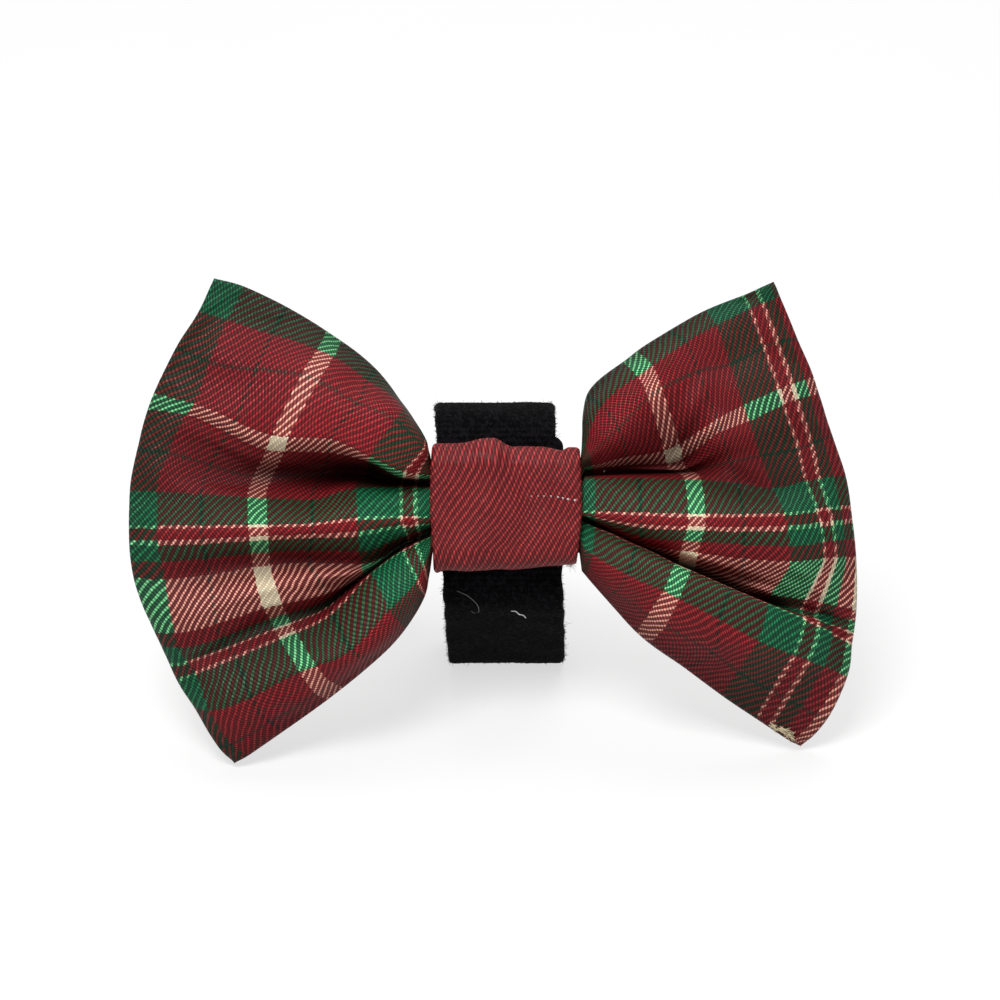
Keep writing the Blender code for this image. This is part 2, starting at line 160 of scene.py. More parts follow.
RIGHT_CHART = (
    ("upper edge", 0.0, (12.4, 13.2, 20.3, 26.4, 32.7, 40.1, 44.2),
     (9.2, 18.3, 24.9, 29.0, 32.5, 35.5, 37.5),
     (-0.5, -2.0, -0.5, 0.0, 0.0, 0.0, 0.0)),
    ("green foot", 6.3, (12.5, 15.8, 22.8, 29.4, 34.6, 41.2, 45.2),
     (8.7, 16.8, 22.3, 26.9, 30.1, 33.3, 35.0),
     (1.6, 4.2, 5.8, 4.5, 3.0, 1.5, 0.5)),
    ("upper roll", 13.5, (12.7, 18.5, 24.3, 31.2, 36.8, 43.4, 48.0),
     (7.8, 13.2, 19.0, 22.6, 23.9, 27.2, 28.2),
     (2.6, 5.2, 5.8, 4.2, 3.4, 2.0, 0.7)),
    ("cream line", 20.8, (12.9, 19.8, 26.9, 34.2, 38.8, 45.7, 50.5),
     (6.8, 8.7, 10.4, 15.0, 17.5, 20.6, 22.3),
     (1.0, 1.0, -0.5, 4.8, 4.6, 2.6, 0.8)),
    ("lobe foot", 26.0, (13.0, 20.1, 27.6, 35.3, 40.3, 47.0, 52.0),
     (6.1, 6.6, 6.8, 11.6, 13.2, 16.3, 17.8),
     (-0.8, -2.8, -3.2, 4.8, 5.0, 2.8, 0.6)),
    ("pocket", 31.5, (13.0, 20.8, 28.7, 36.5, 41.6, 49.0, 53.6),
     (5.4, 5.8, 5.9, 7.9, 9.1, 10.6, 12.7),
     (-2.0, -4.8, -3.5, 2.6, 3.8, 2.2, 0.3)),
    ("ridge top", 38.9, (13.0, 21.8, 30.4, 37.5, 43.7, 50.2, 55.9),
     (5.0, 5.1, 4.9, 4.5, 3.6, 5.0, 5.8),
     (1.8, 1.5, 2.0, 2.6, 3.2, 2.4, 0.5)),
    ("middle ridge", 47.2, (12.9, 22.1, 31.2, 38.6, 45.9, 52.3, 57.0),
     (-1.0, -1.7, -2.0, -2.0, -1.7, -1.0, -0.5),
     (3.4, 6.5, 7.5, 7.0, 6.0, 3.8, 1.2)),
    ("under ridge", 54.4, (13.0, 22.3, 29.9, 38.6, 46.7, 53.3, 57.7),
     (-1.5, -5.8, -6.9, -7.9, -8.4, -7.7, -7.4),
     (0.0, 1.0, 4.5, 5.0, 5.0, 3.6, 1.0)),
    ("tuck", 59.2, (13.0, 22.3, 29.4, 38.1, 45.4, 52.1, 57.9),
     (-1.7, -6.3, -9.1, -10.9, -11.4, -11.6, -12.7),
     (-2.4, -3.8, -1.0, 1.5, 3.0, 2.8, 1.0)),
    ("cream foot", 64.0, (13.0, 22.1, 29.2, 37.5, 43.6, 50.7, 57.8),
     (-1.8, -6.4, -9.7, -13.0, -13.9, -14.9, -16.5),
     (-2.8, -5.2, -4.5, -2.5, 0.5, 1.8, 0.6)),
    ("crease", 68.0, (13.0, 21.9, 29.0, 37.0, 43.1, 49.7, 57.6),
     (-2.1, -6.4, -9.9, -13.4, -15.5, -17.3, -19.1),
     (-2.2, -4.8, -5.0, -4.0, -2.2, 0.6, 0.2)),
    ("lobe edge", 72.9, (13.0, 21.6, 28.9, 36.8, 43.1, 50.3, 57.1),
     (-2.5, -6.1, -9.6, -13.0, -15.7, -18.8, -22.4),
     (0.8, 3.6, 4.4, 4.8, 4.8, 3.2, 0.0)),
    ("lower lobe", 79.5, (12.9, 20.1, 27.1, 34.8, 41.5, 48.7, 56.4),
     (-6.6, -10.7, -13.9, -17.8, -21.4, -24.3, -27.4),
     (3.2, 6.8, 7.0, 6.3, 5.4, 3.2, -1.8)),
    ("lower roll", 86.0, (12.7, 18.3, 24.9, 34.2, 38.6, 45.7, 53.5),
     (-8.6, -13.5, -17.7, -22.9, -26.1, -30.0, -34.0),
     (2.2, 4.4, 4.8, 3.8, 2.2, -0.4, -3.6)),
    ("lower edge", 94.0, (12.5, 16.2, 22.4, 29.4, 35.5, 42.5, 48.8),
     (-10.4, -14.7, -21.3, -26.4, -30.9, -35.6, -39.8),
     (0.0, 0.5, 0.3, -0.5, -2.4, -4.0, -5.8)),
)

# Along each wing: the cloth's distance from its left edge at every column of the chart. The outer edge
# column follows the skewed cut, so it has one value at the upper edge and one at the lower edge.

LEFT_STATIONS = (0.0, 5.0, 21.65, 30.5, 38.0, 44.6, 50.7)
LEFT_EDGE = (-1.0, 2.4)
RIGHT_STATIONS = (76.8, 86.0, 95.15, 104.0, 111.6, 119.85, 127.0)
RIGHT_EDGE = (125.3, 129.5)

# The cloth under the knot band, its middle, and how far a wing reaches from the knot

BAND_FROM, BAND_TO = LEFT_STATIONS[-1], RIGHT_STATIONS[0]
MIDDLE = 63.0
WING_REACH = 50.0

# Grid of the bow: columns of a wing and of the waist, and places down the cloth counted in chart rows.
# They crowd at both edges, so the seam rolls over smoothly.

WING_COLUMNS = 84
WAIST_COLUMNS = 12
LINE_PLACES = np.concatenate(
    [[0, 0.02, 0.05, 0.09], np.arange(0.15, 14.9, 0.1), [14.94, 14.97, 14.99, 15]])

# Pleats of a wing's back at the knot: how many across, turn and fade outwards, phase, strength

PLEATS = ((3.2, 0.25, 2.6, 0.0, 1.0), (6.1, -0.5, 4.0, 1.0, 0.5))
PLEAT_DEPTH = 1.3

# Seam puckers: height, distance between them and how far they reach in from the rim, in millimetres.
# Creases fade out this near the rim and the knot, and this depth below its surroundings is a full fold.

PUCKER = 0.14
PUCKER_PITCH = 3.4
PUCKER_REACH = 5.0
RIM_CALM = 3.0
KNOT_CALM = 6.0
FOLD_DEPTH = 3.5

# The cloth simulation: size of the run, coarse grid, frames, cap in millimetres and its share sideways,
# the stretch of cloth that the band holds, and the cloth itself

SIM_SCALE = 5.0
SIM_GRID = (90, 62)
SIM_FRAMES = 20
SIM_CAP = 1.3
SIM_SIDEWAYS = 0.3
SIM_HELD = (47.5, 80.0)
SIM_SHRINK = -0.035
SIM_STIFFNESS = 30
SIM_SHEAR = 12
SIM_BENDING = 0.6
SIM_MASS = 0.2
SIM_PRESSURE = 1.0

# The strap: width, wall, its shift and slant across the bow, and the plane of its front face. The loop
# runs round three circles, given as (v, radius). The overlapped end has its own reach, wall, sidestep,
# corner radius and gap to the loop. Then the grids, and the pile's number of fibres and its seed.

STRAP_WIDTH = 20.0
STRAP_WALL = 1.8
STRAP_SHIFT = -1.1
STRAP_SLANT = math.tan(math.radians(-2.6))
STRAP_FACE = -5.6
LOOP_TOP = (11.2, 6.5)
LOOP_KNEE = (-10.3, 8.5)
LOOP_FOOT = (-19.9, 7.0)
END_RISE = 11.9
END_DROP = 15.8
END_WALL = 1.5
END_SIDESTEP = 1.1
END_ROUND = 1.6
END_GAP = 0.3
STRAP_ACROSS = 56
STRAP_ROUND = 8
LOOP_STEPS = 420
END_STEPS = 120
NAP_FIBRES = 9000
NAP_SEED = 77


def knot_centre():
    """The knot's centre in the row's frame, in millimetres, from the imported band's box.

    The band's lowest and foremost points lie on its rounded corners, whose centres are known.
    """
    low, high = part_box("knot_band")
    up, out = KNOT_CORNER_AT
    below = up * math.cos(LEAN) + out * math.sin(LEAN) + KNOT_CORNER
    before = up * math.sin(LEAN) + out * math.cos(LEAN) + KNOT_CORNER
    return np.array([(low.x + high.x) / 2 / MM, low.y / MM + before, low.z / MM + below])


KNOT = knot_centre()
RIGHTWARD = np.array([1.0, 0.0, 0.0])
UPWARD = np.array([0.0, math.sin(LEAN), math.cos(LEAN)])
FRONTWARD = np.array([0.0, -math.cos(LEAN), math.sin(LEAN)])


def in_row_frame(uvw):
    """Points (..., 3) of the bow's frame in millimetres, put in the row's frame in metres."""
    uvw = np.asarray(uvw, float)
    leant = uvw[..., :1] * RIGHTWARD + uvw[..., 1:2] * UPWARD + uvw[..., 2:3] * FRONTWARD
    return (KNOT + leant) * MM


def along_sight(uvw):
    """Moves points from where they are seen in the plane w = 0 along the line of sight to their own w.

    The offset from the line through the camera shrinks by the share w / distance.
    """
    out = np.array(uvw, float)
    near = 1 - out[..., 2] / SIGHT
    for axis in (0, 1):
        out[..., axis] = SIGHT_OFFSET[axis] + (out[..., axis] - SIGHT_OFFSET[axis]) * near
    return out


def curve_through(places, values, wanted):
    """A smooth curve through values at places, read at the wanted places, along the first axis.

    Hermite pieces, whose tangents are the mean of the slopes on both sides, held to three times the
    smaller slope and to zero where the slopes have opposite signs, so nothing overshoots.
    """
    places = np.asarray(places, float)
    values = np.asarray(values, float)
    wide = (slice(None),) + (None,) * (values.ndim - 1)
    steps = np.diff(places)
    slopes = np.diff(values, axis=0) / steps[wide]
    before = np.concatenate([slopes[:1], slopes])
    after = np.concatenate([slopes, slopes[-1:]])
    limit = 3 * np.minimum(abs(before), abs(after))
    tangent = np.where(before * after > 0, np.clip((before + after) / 2, -limit, limit), 0)
    tangent[0], tangent[-1] = slopes[0], slopes[-1]
    wanted = np.asarray(wanted, float)
    at = np.clip(np.searchsorted(places, wanted, side="right") - 1, 0, len(steps) - 1)
    span = steps[at][wide]
    f = ((wanted - places[at]) / steps[at])[wide]
    return (
        (1 + 2 * f) * (1 - f) ** 2 * values[at]
        + f * (1 - f) ** 2 * span * tangent[at]
        + f**2 * (3 - 2 * f) * values[at + 1]
        - f**2 * (1 - f) * span * tangent[at + 1]
    )


def ease(x, low, high):
    """0 below low, 1 above high, and 3x² - 2x³ between."""
    f = np.clip((x - low) / (high - low), 0, 1)
    return f * f * (3 - 2 * f)


def ripples(s, t, seed, waves, pitch):
    """A repeatable uneven height: a sum of sine waves with drawn directions, lengths and phases."""
    draw = np.random.default_rng(seed)
    total = np.zeros(np.broadcast(s, t).shape)
    for _ in range(waves):
        turn, phase = draw.uniform(0, 2 * np.pi, 2)
        length = pitch * draw.uniform(0.7, 1.5)
        total += np.sin(2 * np.pi * (s * np.cos(turn) + t * np.sin(turn)) / length + phase)
    return total / math.sqrt(waves)


def put_mesh(name, points, faces, cloth=None):
    """A mesh object at the origin from points in metres and faces, with a map of cloth places."""
    mesh = bpy.data.meshes.new(name)
    faces = np.asarray(faces, np.int32)
    corners = faces.shape[1]
    mesh.vertices.add(len(points))
    mesh.vertices.foreach_set("co", np.asarray(points, np.float32).ravel())
    mesh.loops.add(faces.size)
    mesh.loops.foreach_set("vertex_index", faces.ravel())
    mesh.polygons.add(len(faces))
    mesh.polygons.foreach_set("loop_start", np.arange(0, faces.size, corners, dtype=np.int32))
    mesh.update(calc_edges=True)
    if cloth is not None:
        layer = mesh.uv_layers.new(name="cloth")
        at_corners = np.asarray(cloth, np.float32)[faces.ravel()] / CLOTH_MAP_UNIT
        layer.data.foreach_set("uv", at_corners.ravel())
    mesh.shade_smooth()
    mesh.validate()
    piece = bpy.data.objects.new(name, mesh)
    bpy.context.scene.collection.objects.link(piece)
    return piece


def store(piece, name, values):
    """One number for every point of a piece, which its material reads by name."""
    layer = piece.data.attributes.new(name, "FLOAT", "POINT")
    layer.data.foreach_set("value", values.astype(np.float32))


def grid_faces(index, wrap_i=False, wrap_j=False):
    """Quads over a grid of vertex numbers, whose either direction may close on itself."""
    here = index
    if wrap_i:
        here = np.concatenate([here, here[:1]], axis=0)
    if wrap_j:
        here = np.concatenate([here, here[:, :1]], axis=1)
    quads = np.stack([here[:-1, :-1], here[1:, :-1], here[1:, 1:], here[:-1, 1:]], axis=-1)
    return quads.reshape(-1, 4)


# The bow

def spread(low, high, count, ends=1.5):
    """Places from low to high that crowd towards both ends: a straight run bent by a power."""
    x = np.linspace(-1, 1, count)
    x = np.sign(x) * (1 - (1 - abs(x)) ** ends)
    return low + (high - low) * (x + 1) / 2


def wing_front(chart, stations, edge, outer_first):
    """The front of one wing (columns, lines, uvw) with its cloth places s and t.

    The chart gives u, v and w where each column crosses each line. Curves run down every column
    first, and then along the lines between the columns. The outer edge is cut askew, so s is
    pulled to its edge between the last two stations.
    """
    rows = np.array([row[1] for row in chart])
    table = np.array([row[2:5] for row in chart])
    t = np.interp(LINE_PLACES, np.arange(len(rows)), rows)
    columns = spread(stations[0], stations[-1], WING_COLUMNS)
    down = curve_through(rows, table, t)
    grid = curve_through(stations, np.moveaxis(down, 2, 0), columns)
    outer, inner = (stations[0], stations[1]) if outer_first else (stations[-1], stations[-2])
    pull = np.clip((columns - inner) / (outer - inner), 0, 1)[:, None]
    edge_now = edge[0] + (edge[1] - edge[0]) * t / rows[-1]
    s = columns[:, None] + pull * (edge_now[None, :] - outer)
    return grid, s, np.broadcast_to(t, s.shape)


def wing_back(front, s, t):
    """The back of one wing, spanned by the front's rim; columns run from the outer rim to the knot.

    A Coons patch: the sum of the two ruled surfaces between opposite edges, less the bilinear one.
    Its depth follows the upper and lower rims, and the outer rim's own bow fades out towards the knot.
    It bulges backwards by a pillow's arch, and pleats run out from the knot and fade.
    """
    a = ((s - s[:1]) / (s[-1:] - s[:1]))[..., None]
    b = ((t - t[:, :1]) / (t[:, -1:] - t[:, :1]))[..., None]
    ends = front[:1] * (1 - a) + front[-1:] * a
    sides = front[:, :1] * (1 - b) + front[:, -1:] * b
    corners = (front[0, 0] * (1 - a) + front[-1, 0] * a) * (1 - b)
    corners = corners + (front[0, -1] * (1 - a) + front[-1, -1] * a) * b
    back = ends + sides - corners
    reach = abs(s[-1:] - s) / WING_REACH
    share = b[..., 0]
    arch = (4 * share * (1 - share)) ** 0.6
    swell = np.sin(np.pi * np.clip((1 - reach) / 1.25, 0, 1)) ** 0.95
    pleats = 0.0
    for count, turn, fade, phase, strength in PLEATS:
        wave = np.cos(2 * np.pi * (share * count + turn * reach) + phase)
        pleats = pleats + strength * wave * np.exp(-reach * fade)
    straight_w = corners[:1, :, 2]
    rim_w = sides[..., 2] + (1 - a[..., 0]) ** 2 * (front[:1, :, 2] - straight_w)
    behind = rim_w - BACK_PUFF * swell * arch - PLEAT_DEPTH * pleats * arch
    at_knot = -WAIST_DEPTH * (1 - (2 * share - 1) ** 6)
    settle = ease(reach, 0.3, 0.0)
    back[..., 2] = behind * (1 - settle) + np.minimum(at_knot, rim_w) * settle
    return back


def waist_between(left, right, count):
    """The cloth inside the band: straight runs between the wings' last sections, held to the waist.

    Heights and depths shrink smoothly into the band's opening within the first millimetre.
    """
    f = np.linspace(0, 1, count + 2)[1:-1, None, None]
    run = left[-1:] * (1 - f) + right[:1] * f
    squeeze = WAIST_HALF / np.max(abs(run[..., 1]))
    run[..., 1] *= squeeze
    run[..., 2] = WAIST_DEPTH * np.tanh(run[..., 2] / WAIST_DEPTH)
    u = np.linspace(-KNOT_HALF_WIDTH + 0.35, KNOT_HALF_WIDTH - 0.35, count)[:, None]
    run[..., 0] = u
    return run


def seam_height(rim):
    """A quarter circle's height over the seam's half thickness, from the distance to the rim."""
    near = np.clip(rim / SEAM, 0, 1)
    return SEAM * np.sqrt(1 - (1 - near) ** 2)


# Short creases of the front: cloth place s, t, turn in radians, half length, half width, height

CREASES = (
    (33.5, 26.5, 0.15, 5, 1.2, 1.4), (31, 29.5, -0.30, 4, 1.1, 1.2), (36.5, 31, 0.20, 5, 1.2, -1.2),
    (27, 28.5, 0.50, 4, 1.3, 0.8), (41, 25.5, 0.25, 4, 1, 1), (44.5, 51, -0.20, 6, 1.2, 1.2),
    (40, 57.5, -0.25, 6, 1.3, 1.2), (34, 62, -0.15, 5, 1.2, -1), (20, 60.5, -0.10, 7, 1.5, 1),
    (46, 44, -0.10, 5, 1.2, -0.8), (12, 67.5, -0.20, 6, 1.3, 0.8), (99.5, 18.8, -0.46, 4.8, 1.2, 1.7),
    (101, 23, -0.15, 5.5, 1.2, 1.2), (97, 28.5, 0.10, 4, 1.1, 0.9), (90, 27.5, 0.05, 6, 1.2, 0.9),
    (104, 60, 0.30, 5, 1.2, -1.4), (110, 63.5, 0.45, 4.5, 1.1, 1.4), (98, 56.5, 0.20, 5.5, 1.1, 1.2),
    (90, 61, 0.10, 5, 1.1, 1), (120, 62, 0.60, 4, 1.1, 1.2), (122, 67.5, 0.20, 4, 1, -1),
    (115.5, 58, 0.35, 4.5, 1.3, 0.9), (112, 69, 0.15, 5, 1, -0.9),
)

# How far the corners of the cut are rounded off: cloth place s, t and inward pull, and where the
# middle of either wing is, towards which they are pulled

CORNERS = ((-1.0, 0.0, 0.1), (2.4, 91.4, 0.6), (125.3, 0.0, 0.15), (129.5, 94.0, 0.5))
CORNER_FADE = 2.0
WING_MIDDLES = (-30.0, 32.0)


def creased(s, t):
    """The summed height of the short creases: bell curves across a turned line, faded to its ends."""
    total = np.zeros_like(s)
    for at_s, at_t, turn, long, wide, height in CREASES:
        along = (s - at_s) * math.cos(turn) + (t - at_t) * math.sin(turn)
        across = (t - at_t) * math.cos(turn) - (s - at_s) * math.sin(turn)
        total += height * np.exp(-(along / long) ** 2 - (across / wide) ** 2)
    return total


def rounded_corners(sheet, s, t):
    """A sheet whose corners are drawn in towards their wing's middle: the pull times a bell curve."""
    for at_s, at_t, pull in CORNERS:
        near = np.exp(-(((s - at_s) ** 2 + (t - at_t) ** 2) / CORNER_FADE ** 2))
        middle = np.array([WING_MIDDLES[at_s > MIDDLE], 0.0])
        inward = middle - sheet[..., :2]
        inward /= np.linalg.norm(inward, axis=-1, keepdims=True)
        sheet[..., :2] += (pull * near)[..., None] * inward
    return sheet


def blurred(grid, width, axis):
    """A running mean along one axis, with its ends repeated outwards, taken twice."""
    for _ in range(2):
        ends = [(0, 0)] * grid.ndim
        ends[axis] = (width + 1, width)
        total = np.cumsum(np.pad(grid, ends, mode="edge"), axis=axis)
        high = np.take(total, np.arange(2 * width + 1, total.shape[axis]), axis=axis)
        low = np.take(total, np.arange(0, total.shape[axis] - 2 * width - 1), axis=axis)
        grid = (high - low) / (2 * width + 1)
    return grid


# The material paints shade in the folds and a highlight on the crests from this hollowness
def hollowness(front):
    """From -1 on a crest to 1 in a fold: how deep a place lies below its surroundings."""
    depth = front[..., 2]
    around = blurred(blurred(depth, 14, 1), 5, 0)
    return np.clip((around - depth) / FOLD_DEPTH, -1, 1)


def bow_sheets():
    """Front and back of the whole bow as grids (along, down, uvw), with their cloth places."""
    left, left_s, left_t = wing_front(LEFT_CHART, LEFT_STATIONS, LEFT_EDGE, True)
    right, right_s, right_t = wing_front(RIGHT_CHART, RIGHT_STATIONS, RIGHT_EDGE, False)
    left_back = wing_back(left, left_s, left_t)
    right_back = wing_back(right[::-1], right_s[::-1], right_t[::-1])[::-1]
    sheets = []
    for one, other in ((left, right), (left_back, right_back)):
        sheets.append(np.concatenate([one, waist_between(one, other, WAIST_COLUMNS), other]))
    f = np.linspace(0, 1, WAIST_COLUMNS + 2)[1:-1, None]
    s = np.concatenate([left_s, left_s[-1:] * (1 - f) + right_s[:1] * f, right_s])
    t = np.concatenate([left_t, left_t[-1:] * (1 - f) + right_t[:1] * f, right_t])
    front, back = sheets
    side = abs(s - np.where(s < MIDDLE, left_s[:1], right_s[-1:]))
    end = np.minimum(t, t[:, -1:] - t)
    rim = np.minimum(end, side)
    height = seam_height(rim)
    gap = ease(end, 0.0, RIM_CALM) * ease(side, 0.0, RIM_CALM)
    creases = creased(s, t)
    low = np.minimum(back[..., 2], front[..., 2] - (0.5 - np.minimum(creases, 0)) * gap)
    away = np.minimum(abs(s - BAND_FROM), abs(s - BAND_TO))
    away = np.where((s > BAND_FROM) & (s < BAND_TO), 0, away)
    quiet = ease(away, 0.0, KNOT_CALM)
    puckers = np.sin(2 * np.pi * (s + t + 1.5 * ripples(s, t, 3, 5, 9.0)) / PUCKER_PITCH)
    puckers = PUCKER * puckers * ease(rim, 0.0, 1.0) * ease(rim, PUCKER_REACH, 1.5) * quiet
    hollow = np.stack([hollowness(front), np.zeros_like(s)])
    front[..., 2] += height + (0.12 * ripples(s, t, 5, 9, 11.0) + creases) * gap * quiet + puckers
    back[..., 2] = low - height + 0.2 * ripples(s, t, 8, 9, 12.0) * gap * quiet - puckers
    return rounded_corners(front, s, t), rounded_corners(back, s, t), s, t, hollow


def pillow_faces(columns, rows):
    """Faces of two sheets that share their rim, and which numbers are the rim's.

    The front's points come first, then those of the back that aren't on the rim.
    """
    rim = np.zeros((columns, rows), bool)
    rim[0], rim[-1], rim[:, 0], rim[:, -1] = True, True, True, True
    front = np.arange(columns * rows).reshape(columns, rows)
    back = np.full((columns, rows), -1)
    back[rim] = front[rim]
    back[~rim] = columns * rows + np.arange((~rim).sum())
    return front, back, rim, np.concatenate([grid_faces(front)[:, ::-1], grid_faces(back)])


def between(wanted, known):
    """A matrix that reads values at the known numbers at every wanted number, in straight runs."""
    low = np.clip(np.searchsorted(known, wanted, side="right") - 1, 0, len(known) - 2)
    f = (wanted - known[low]) / (known[low + 1] - known[low])
    out = np.zeros((len(wanted), len(known)))
    out[np.arange(len(wanted)), low] = 1 - f
    out[np.arange(len(wanted)), low + 1] += f
    return out


def cloth_run(points, faces, held):
    """How far Blender's cloth moves every point, in millimetres, in an enlarged run without gravity.

    The cloth is a little larger than the surface that it starts from, so it buckles between the
    held points, under a slight pressure from inside.
    """
    piece = put_mesh("cloth_run", points * MM * SIM_SCALE, faces)
    group = piece.vertex_groups.new(name="held")
    group.add(np.flatnonzero(held).tolist(), 1.0, "REPLACE")
    cloth = piece.modifiers.new("cloth", "CLOTH")
    settings = cloth.settings
    settings.quality = 5
    settings.mass = SIM_MASS
    settings.tension_stiffness = settings.compression_stiffness = SIM_STIFFNESS
    settings.shear_stiffness = SIM_SHEAR
    settings.bending_stiffness = SIM_BENDING
    settings.use_pressure = True
    settings.uniform_pressure_force = SIM_PRESSURE
    settings.shrink_min = settings.shrink_max = SIM_SHRINK
    settings.effector_weights.gravity = 0
    settings.vertex_group_mass = "held"
    cloth.collision_settings.use_self_collision = False
    scene = bpy.context.scene
    for frame_number in range(1, SIM_FRAMES + 1):
        scene.frame_set(frame_number)
    moved = piece.evaluated_get(bpy.context.evaluated_depsgraph_get()).to_mesh()
    place = np.zeros(len(points) * 3, np.float32)
    moved.vertices.foreach_get("co", place)
    scene.frame_set(1)
    mesh = piece.data
    bpy.data.objects.remove(piece)
    bpy.data.meshes.remove(mesh)
    return place.reshape(-1, 3) / (MM * SIM_SCALE) - points


def settled(front, back, s):
    """Both sheets after a short cloth simulation on a coarser pillow, with the motion capped.

    The rim and the waist are held, so the outline stays. A point moves cap · tanh(d / cap), and
    less than that within the bow's plane, so the plaid stays where it is.
    """
    columns, rows = s.shape
    i = np.unique(np.round(np.linspace(0, columns - 1, SIM_GRID[0])).astype(int))
    j = np.unique(np.round(np.linspace(0, rows - 1, SIM_GRID[1])).astype(int))
    few = np.ix_(i, j)
    front_index, back_index, rim, faces = pillow_faces(len(i), len(j))
    points = np.concatenate([front[few].reshape(-1, 3), back[few][~rim]])
    place = s[few]
    held = rim | ((place > SIM_HELD[0]) & (place < SIM_HELD[1]))
    held = np.concatenate([held.ravel(), held[~rim]])
    move = cloth_run(points, faces, held)
    far = np.linalg.norm(move, axis=1, keepdims=True)
    move *= SIM_CAP * np.tanh(far / SIM_CAP) / np.maximum(far, 1e-9)
    move[:, :2] *= SIM_SIDEWAYS
    over_i, over_j = between(np.arange(columns), i), between(np.arange(rows), j)
    out = []
    for sheet, index in ((front, front_index), (back, back_index)):
        fine = np.einsum("ai,ijk,bj->abk", over_i, move[index], over_j)
        out.append(sheet + blurred(blurred(fine, 1, 0), 1, 1))
    return out


def make_bow():
    """A closed slack pillow: both sheets, which share the points of their common rim."""
    front, back, s, t, hollow = bow_sheets()
    front, back = settled(front, back, s)
    columns, rows = s.shape
    rim, faces = pillow_faces(columns, rows)[2:]
    points = np.concatenate([along_sight(front).reshape(-1, 3), along_sight(back)[~rim]])
    places = np.stack([s, t], axis=-1)
    cloth = np.concatenate([places.reshape(-1, 2), places[~rim]])
    bow = put_mesh("plaid_bow", in_row_frame(points), faces, cloth)
    store(bow, "hollow", np.concatenate([hollow[0].ravel(), hollow[1][~rim]]))
    return bow


# The knot band

def flat_section(half, wall, across, rounding, inside):
    """Across and depth of a flat strip's section with round rims: 0 at its face, -wall at its back."""
    fold = wall / 2
    flat = half - fold
    turn = np.radians(np.linspace(90, -90, rounding + 2)[1:-1])
    u = np.concatenate([np.linspace(-1, 1, across) * flat, flat + fold * np.cos(turn),
                        np.linspace(1, -1, inside) * flat, -flat - fold * np.cos(turn)])
    h = np.concatenate([np.zeros(across), fold * np.sin(turn) - fold,
                        np.full(inside, -wall), -fold - fold * np.sin(turn)])
    return u, h


def numbered(points):
    """The vertex numbers of a grid of points."""
    return np.arange(points[..., 0].size).reshape(points.shape[:2])


def rounded_box(half_v, half_w, radius, turn):
    """Points (v, w) and outward normals of a rounded rectangle at shares of the way round it."""
    straight_v, straight_w = 2 * (half_v - radius), 2 * (half_w - radius)
    quarter = math.pi * radius / 2
    lengths = np.array([straight_v, quarter, straight_w, quarter] * 2)
    ends = np.concatenate([[0], np.cumsum(lengths)])
    at = (np.asarray(turn) % 1.0) * ends[-1]
    piece = np.clip(np.searchsorted(ends, at, side="right") - 1, 0, 7)
    f = (at - ends[piece]) / lengths[piece]
    cv, cw = half_v - radius, half_w - radius
    # the run goes up the front, over the top, down the back and under the bottom
    start = np.array([(-cv, half_w), (cv, cw), (half_v, cw), (cv, -cw),
                      (cv, -half_w), (-cv, -cw), (-half_v, -cw), (-cv, cw)])
    heading = np.array([(1, 0), (0, 0), (0, -1), (0, 0), (-1, 0), (0, 0), (0, 1), (0, 0)])
    angle0 = np.array([0, 90, 0, 0, 0, -90, 0, 180])
    straight = start[piece] + heading[piece] * (f * lengths[piece])[..., None]
    flat_normal = np.array([(0, 1), (0, 0), (1, 0), (0, 0), (0, -1), (0, 0), (-1, 0), (0, 0)])[piece]
    angle = np.radians(angle0[piece] - 90 * f)
    round_normal = np.stack([np.cos(angle), np.sin(angle)], axis=-1)
    is_round = (piece % 2 == 1)[..., None]
    normal = np.where(is_round, round_normal, flat_normal)
    return np.where(is_round, start[piece] + radius * round_normal, straight), normal


# Grid of the band: steps round the waist, across the outer face, round each rim, along the inner face

KNOT_AROUND, KNOT_ACROSS, KNOT_ROUND, KNOT_INSIDE = 260, 72, 10, 12

# Its wall, its inner section (half height, half depth, corner radius) and where the joint lies on it

KNOT_WALL = 1.5
KNOT_SECTION = (8.8, 3.8, 2.0)
KNOT_JOINT = 0.65

# Its cloth: length once round, and how far the twill sways in the middle (height, place, half width)

KNOT_LENGTH = 39.0
KNOT_SWAY = (1.6, -1.0, 5.0)

# How far the knot's upper and lower outline stands out at places across it: u, top, bottom

KNOT_OUTLINE = (
    (-12.4, 0.2, 0.5), (-10.0, 0.1, -0.1), (-6.6, 0.4, -0.1), (-4.1, 0.8, -0.3), (-2.0, 0.8, -0.4),
    (1.0, -0.2, -0.1), (3.5, -0.1, -0.3), (7.1, -0.5, -0.7), (9.2, -0.8, -0.8), (10.6, -0.3, -0.9),
    (12.4, -0.3, -1.0),
)

# How far its left and right rims lie inside the full width at heights v: v, left, right

KNOT_RIMS = ((-10.5, 0.6, 1.1), (-6.0, 0.4, 0.5), (0.0, 0.0, 0.0), (5.0, 0.0, 0.1), (10.5, 0.4, 0.4))

# Soft swellings and dents of its front: place u, v, height, half width and half height

KNOT_FOLDS = (
    (-2.6, 3.0, 0.95, 2.4, 11.0), (-9.5, 5.0, 0.45, 3.0, 6.0), (3.6, 1.0, -0.70, 2.0, 9.0),
    (9.0, -4.0, -0.55, 2.8, 6.0), (-6.0, -7.0, 0.35, 4.0, 3.0), (6.5, 7.0, 0.40, 2.5, 3.0),
    (1.0, -6.0, -0.35, 2.5, 3.0), (10.5, 3.5, 0.35, 1.6, 4.0),
)


